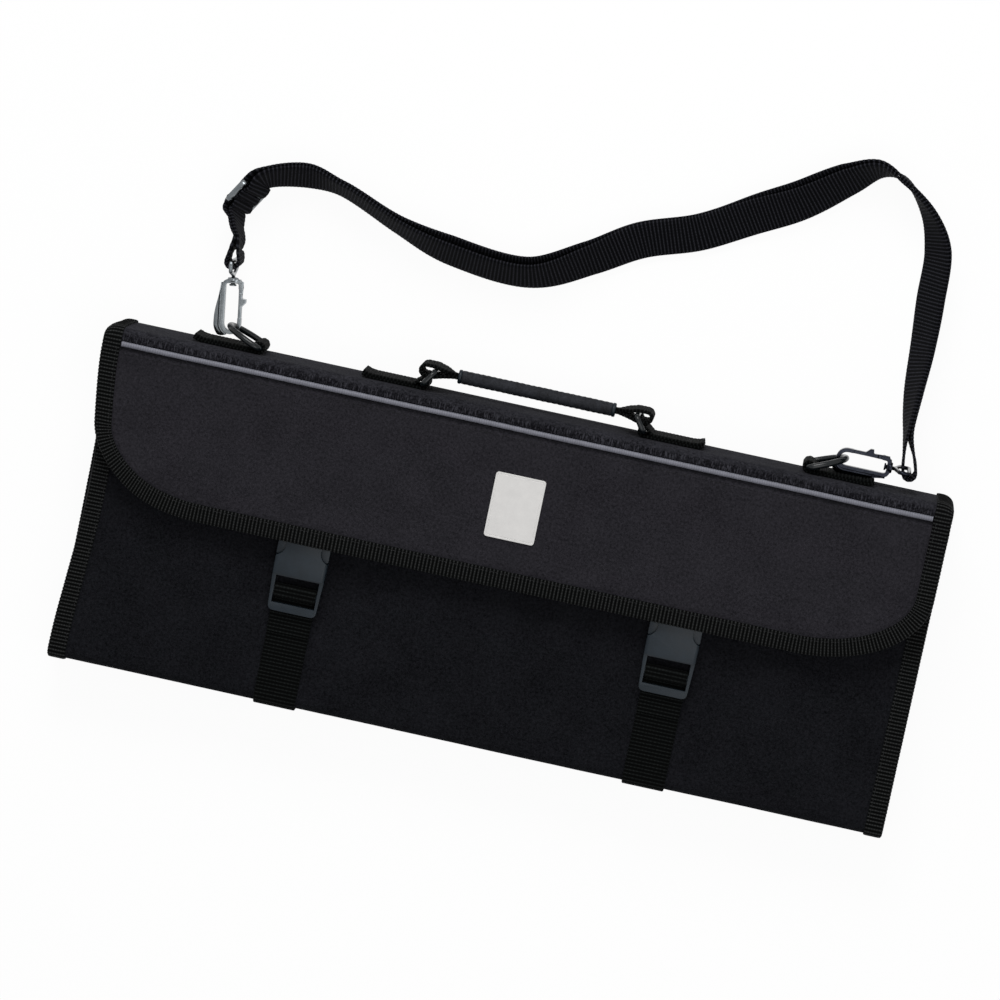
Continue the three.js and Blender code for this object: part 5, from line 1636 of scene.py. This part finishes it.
# %% The two hooks
HOOK_BEND = 5.1
HOOK_ROD = 2.8
HOOK_LONG = 25.2
HOOKS = (("left", PLATED, LEFT_TIP + LEFT_WAY * LEFT_SEAT, LEFT_WAY, -1),
         ("right", SHADED_PLATED, RING_TIP + X_AXIS * RIGHT_SEAT, X_AXIS, 1))


def flank_section(wide):
    """The wall's section as (out of the hook's back, up), with its groove."""
    return [(-0.5, -0.4), (0.8, -0.4), (0.95, 1.5), (1.2, 1.9), (wide - 0.5, 1.7), (wide - 0.1, 1.2),
            (wide, 0.2), (wide - 0.1, -1.0), (wide - 0.6, -1.6), (-0.5, -1.6)]


def hook_flank(name, bend, way, flip, material):
    """The thin wall along a hook's back, as lines from its far end round the bend."""
    reach = HOOK_BEND + HOOK_ROD / 2
    back = [(HOOK_LONG - 1 - k * 0.6, -reach, Vector((0, -1))) for k in range(41)]
    turn = [math.radians(angle) for angle in range(266, 199, -6)]
    back += [(reach * math.cos(a), reach * math.sin(a), Vector((math.cos(a), math.sin(a)))) for a in turn]
    last = len(back) - 1
    side = Z_AXIS.cross(way)

    def place(i, j):
        s, t, out = back[i]
        full = 0.3 + 3.5 * ease((HOOK_LONG + 1 - s) / 24)
        wide = full * ease((last - i) / 7 + 0.25)
        w, z = flank_section(wide)[j]
        w = min(w, wide) if w > 0 else w
        return bend + way * (s + out.x * w) + side * flip * (t + out.y * w) + Z_AXIS * z

    return made(name, skin(last, len(flank_section(1)), place, 35, 14), material, corner=50)


for side, metal, bend, way, flip in HOOKS:
    riding(hook_flank(f"hook_back_{side}", bend, way, flip, metal), f"hook_{side}")
    cast(f"hook_body_{side}", f"hook_{side}", metal, grain=0.3, slim=0.22)
    gate = cast(f"hook_lever_{side}", f"hook_gate_{side}", metal, grain=0.22, slim=0.15)
    draw_out(gate, bend, way)
    cast(f"hook_swivel_{side}", f"hook_eye_{side}", metal, grain=0.25, slim=0.12)

# %% [markdown]
# Inside, two wide elastic bands hold the blades. Each is sewn down between
# its four arches, and elastic has finer rows than webbing.

# %% Elastic bands
BAND_WIDE = 50.0
BAND_PITCH = (203 - 51) / 4
BAND_FLAT, BAND_HIGH = 7.0, 20.0
BAND_GAP = 10
ARCH_IN = 2.5
BANDS = {"left": -150.0, "right": 100.0}

band_line = [(-81, BAND_FLAT)]
for k in range(4):
    middle = -76 + BAND_PITCH * (k + 0.5)
    foot = (BAND_PITCH - BAND_GAP) / 2
    band_line += [(middle - foot, BAND_FLAT, 2.5), (middle - foot + ARCH_IN, BAND_HIGH, 5),
                  (middle + foot - ARCH_IN, BAND_HIGH, 5), (middle + foot, BAND_FLAT, 2.5)]
band_line.append((81, BAND_FLAT))
for side, middle in BANDS.items():
    stations, length = station_line(rounded(band_line), 0.5, across_case(middle))
    band = woven_band(stations, length, wide=BAND_WIDE, thick=1.2, depth=0.1)
    dressed(f"knife_elastic_{side}", band, ELASTIC, "elastic", f"knife_band_{side}")

# %% [markdown]
# Stitches hold it all together. Each one is a small stretched ball laid on
# the cloth, a few dozen faces at most, and a row of them is one mesh.

# %% Rows of stitches
def stitches(name, rows, node_name, slot, long=2.2, thick=0.42, gap=0.9):
    """Stitches along lines of points in case millimetres, as one piece."""
    bm = bmesh.new()
    for row in rows:
        points, length = evenly([Vector(place) for place in row], (long + gap) / 2)
        for k in range(1, len(points) - 1, 2):
            way = (points[k + 1] - points[k - 1]).normalized()
            turn = way.to_track_quat("X", "Z").to_matrix().to_4x4()
            shape = Matrix.Diagonal((long / 2 * MM, thick / 2 * MM, thick / 2 * MM, 1))
            place = Matrix.Translation(spot(*points[k])) @ turn @ shape
            bmesh.ops.create_icosphere(bm, subdivisions=1, radius=1, matrix=place)
    riding(made(name, bm, THREAD, corner=80), node_name)


SEWN_DOWN = 87.0
seam = [lean(x, SEWN_DOWN, pad_height(x, SEWN_DOWN) + 0.08) for x in range(-241, 242, 6)]
stitches("flap_seam_stitches", [seam], "flap_panel", "flap_cloth", long=2.4)
edge_row = [lean(place.x, place.y, 51.32) for place in evenly(flap_line(8.9), 3)[0]]
stitches("flap_binding_stitches", [edge_row], "flap_tape", "ribbed_tape")
ends = [[lean(sign * 244.6, y, 38.72) for y in range(-94, 47, 4)] for side, sign in SIDES]
stitches("end_binding_stitches", ends, "front_panel", "ribbed_tape")

# %% [markdown]
# Webbing is tacked down by short rows across it: two near the ring's bar and
# two near the tab's end, and two where a buckle's strap is sewn to the case.

# %% Rows of tacks
TACK_HALF = 11.2
TACK = {"long": 1.9, "thick": 0.4, "gap": 0.6}


def tack(middle, across, out, height, half_height):
    """A row's two ends, half its length to each side of its middle."""
    low = (middle - across, out, height - half_height)
    return [low, (middle + across, out, height + half_height)]


tacks = []
for side, sign in SIDES:
    for bar, length in ((HANDLE_BAR, HANDLE_TAB), (RING_BAR, RING_TAB)):
        for along in (bar + 8.5, bar + 10.0, bar + length - 9.5, bar + length - 8.0):
            tacks.append(tack(sign * along, 0, SPINE + 3.55, FIX_HEIGHT, TACK_HALF))
stitches("spine_tab_stitches", tacks, "spine_board", "webbing", **TACK)
tacks = [tack(middle, TACK_HALF, -103.5, height, 0) for middle in BUCKLES.values() for height in (13.0, 15.0)]
stitches("front_strap_stitches", tacks, "front_panel", "webbing", **TACK)
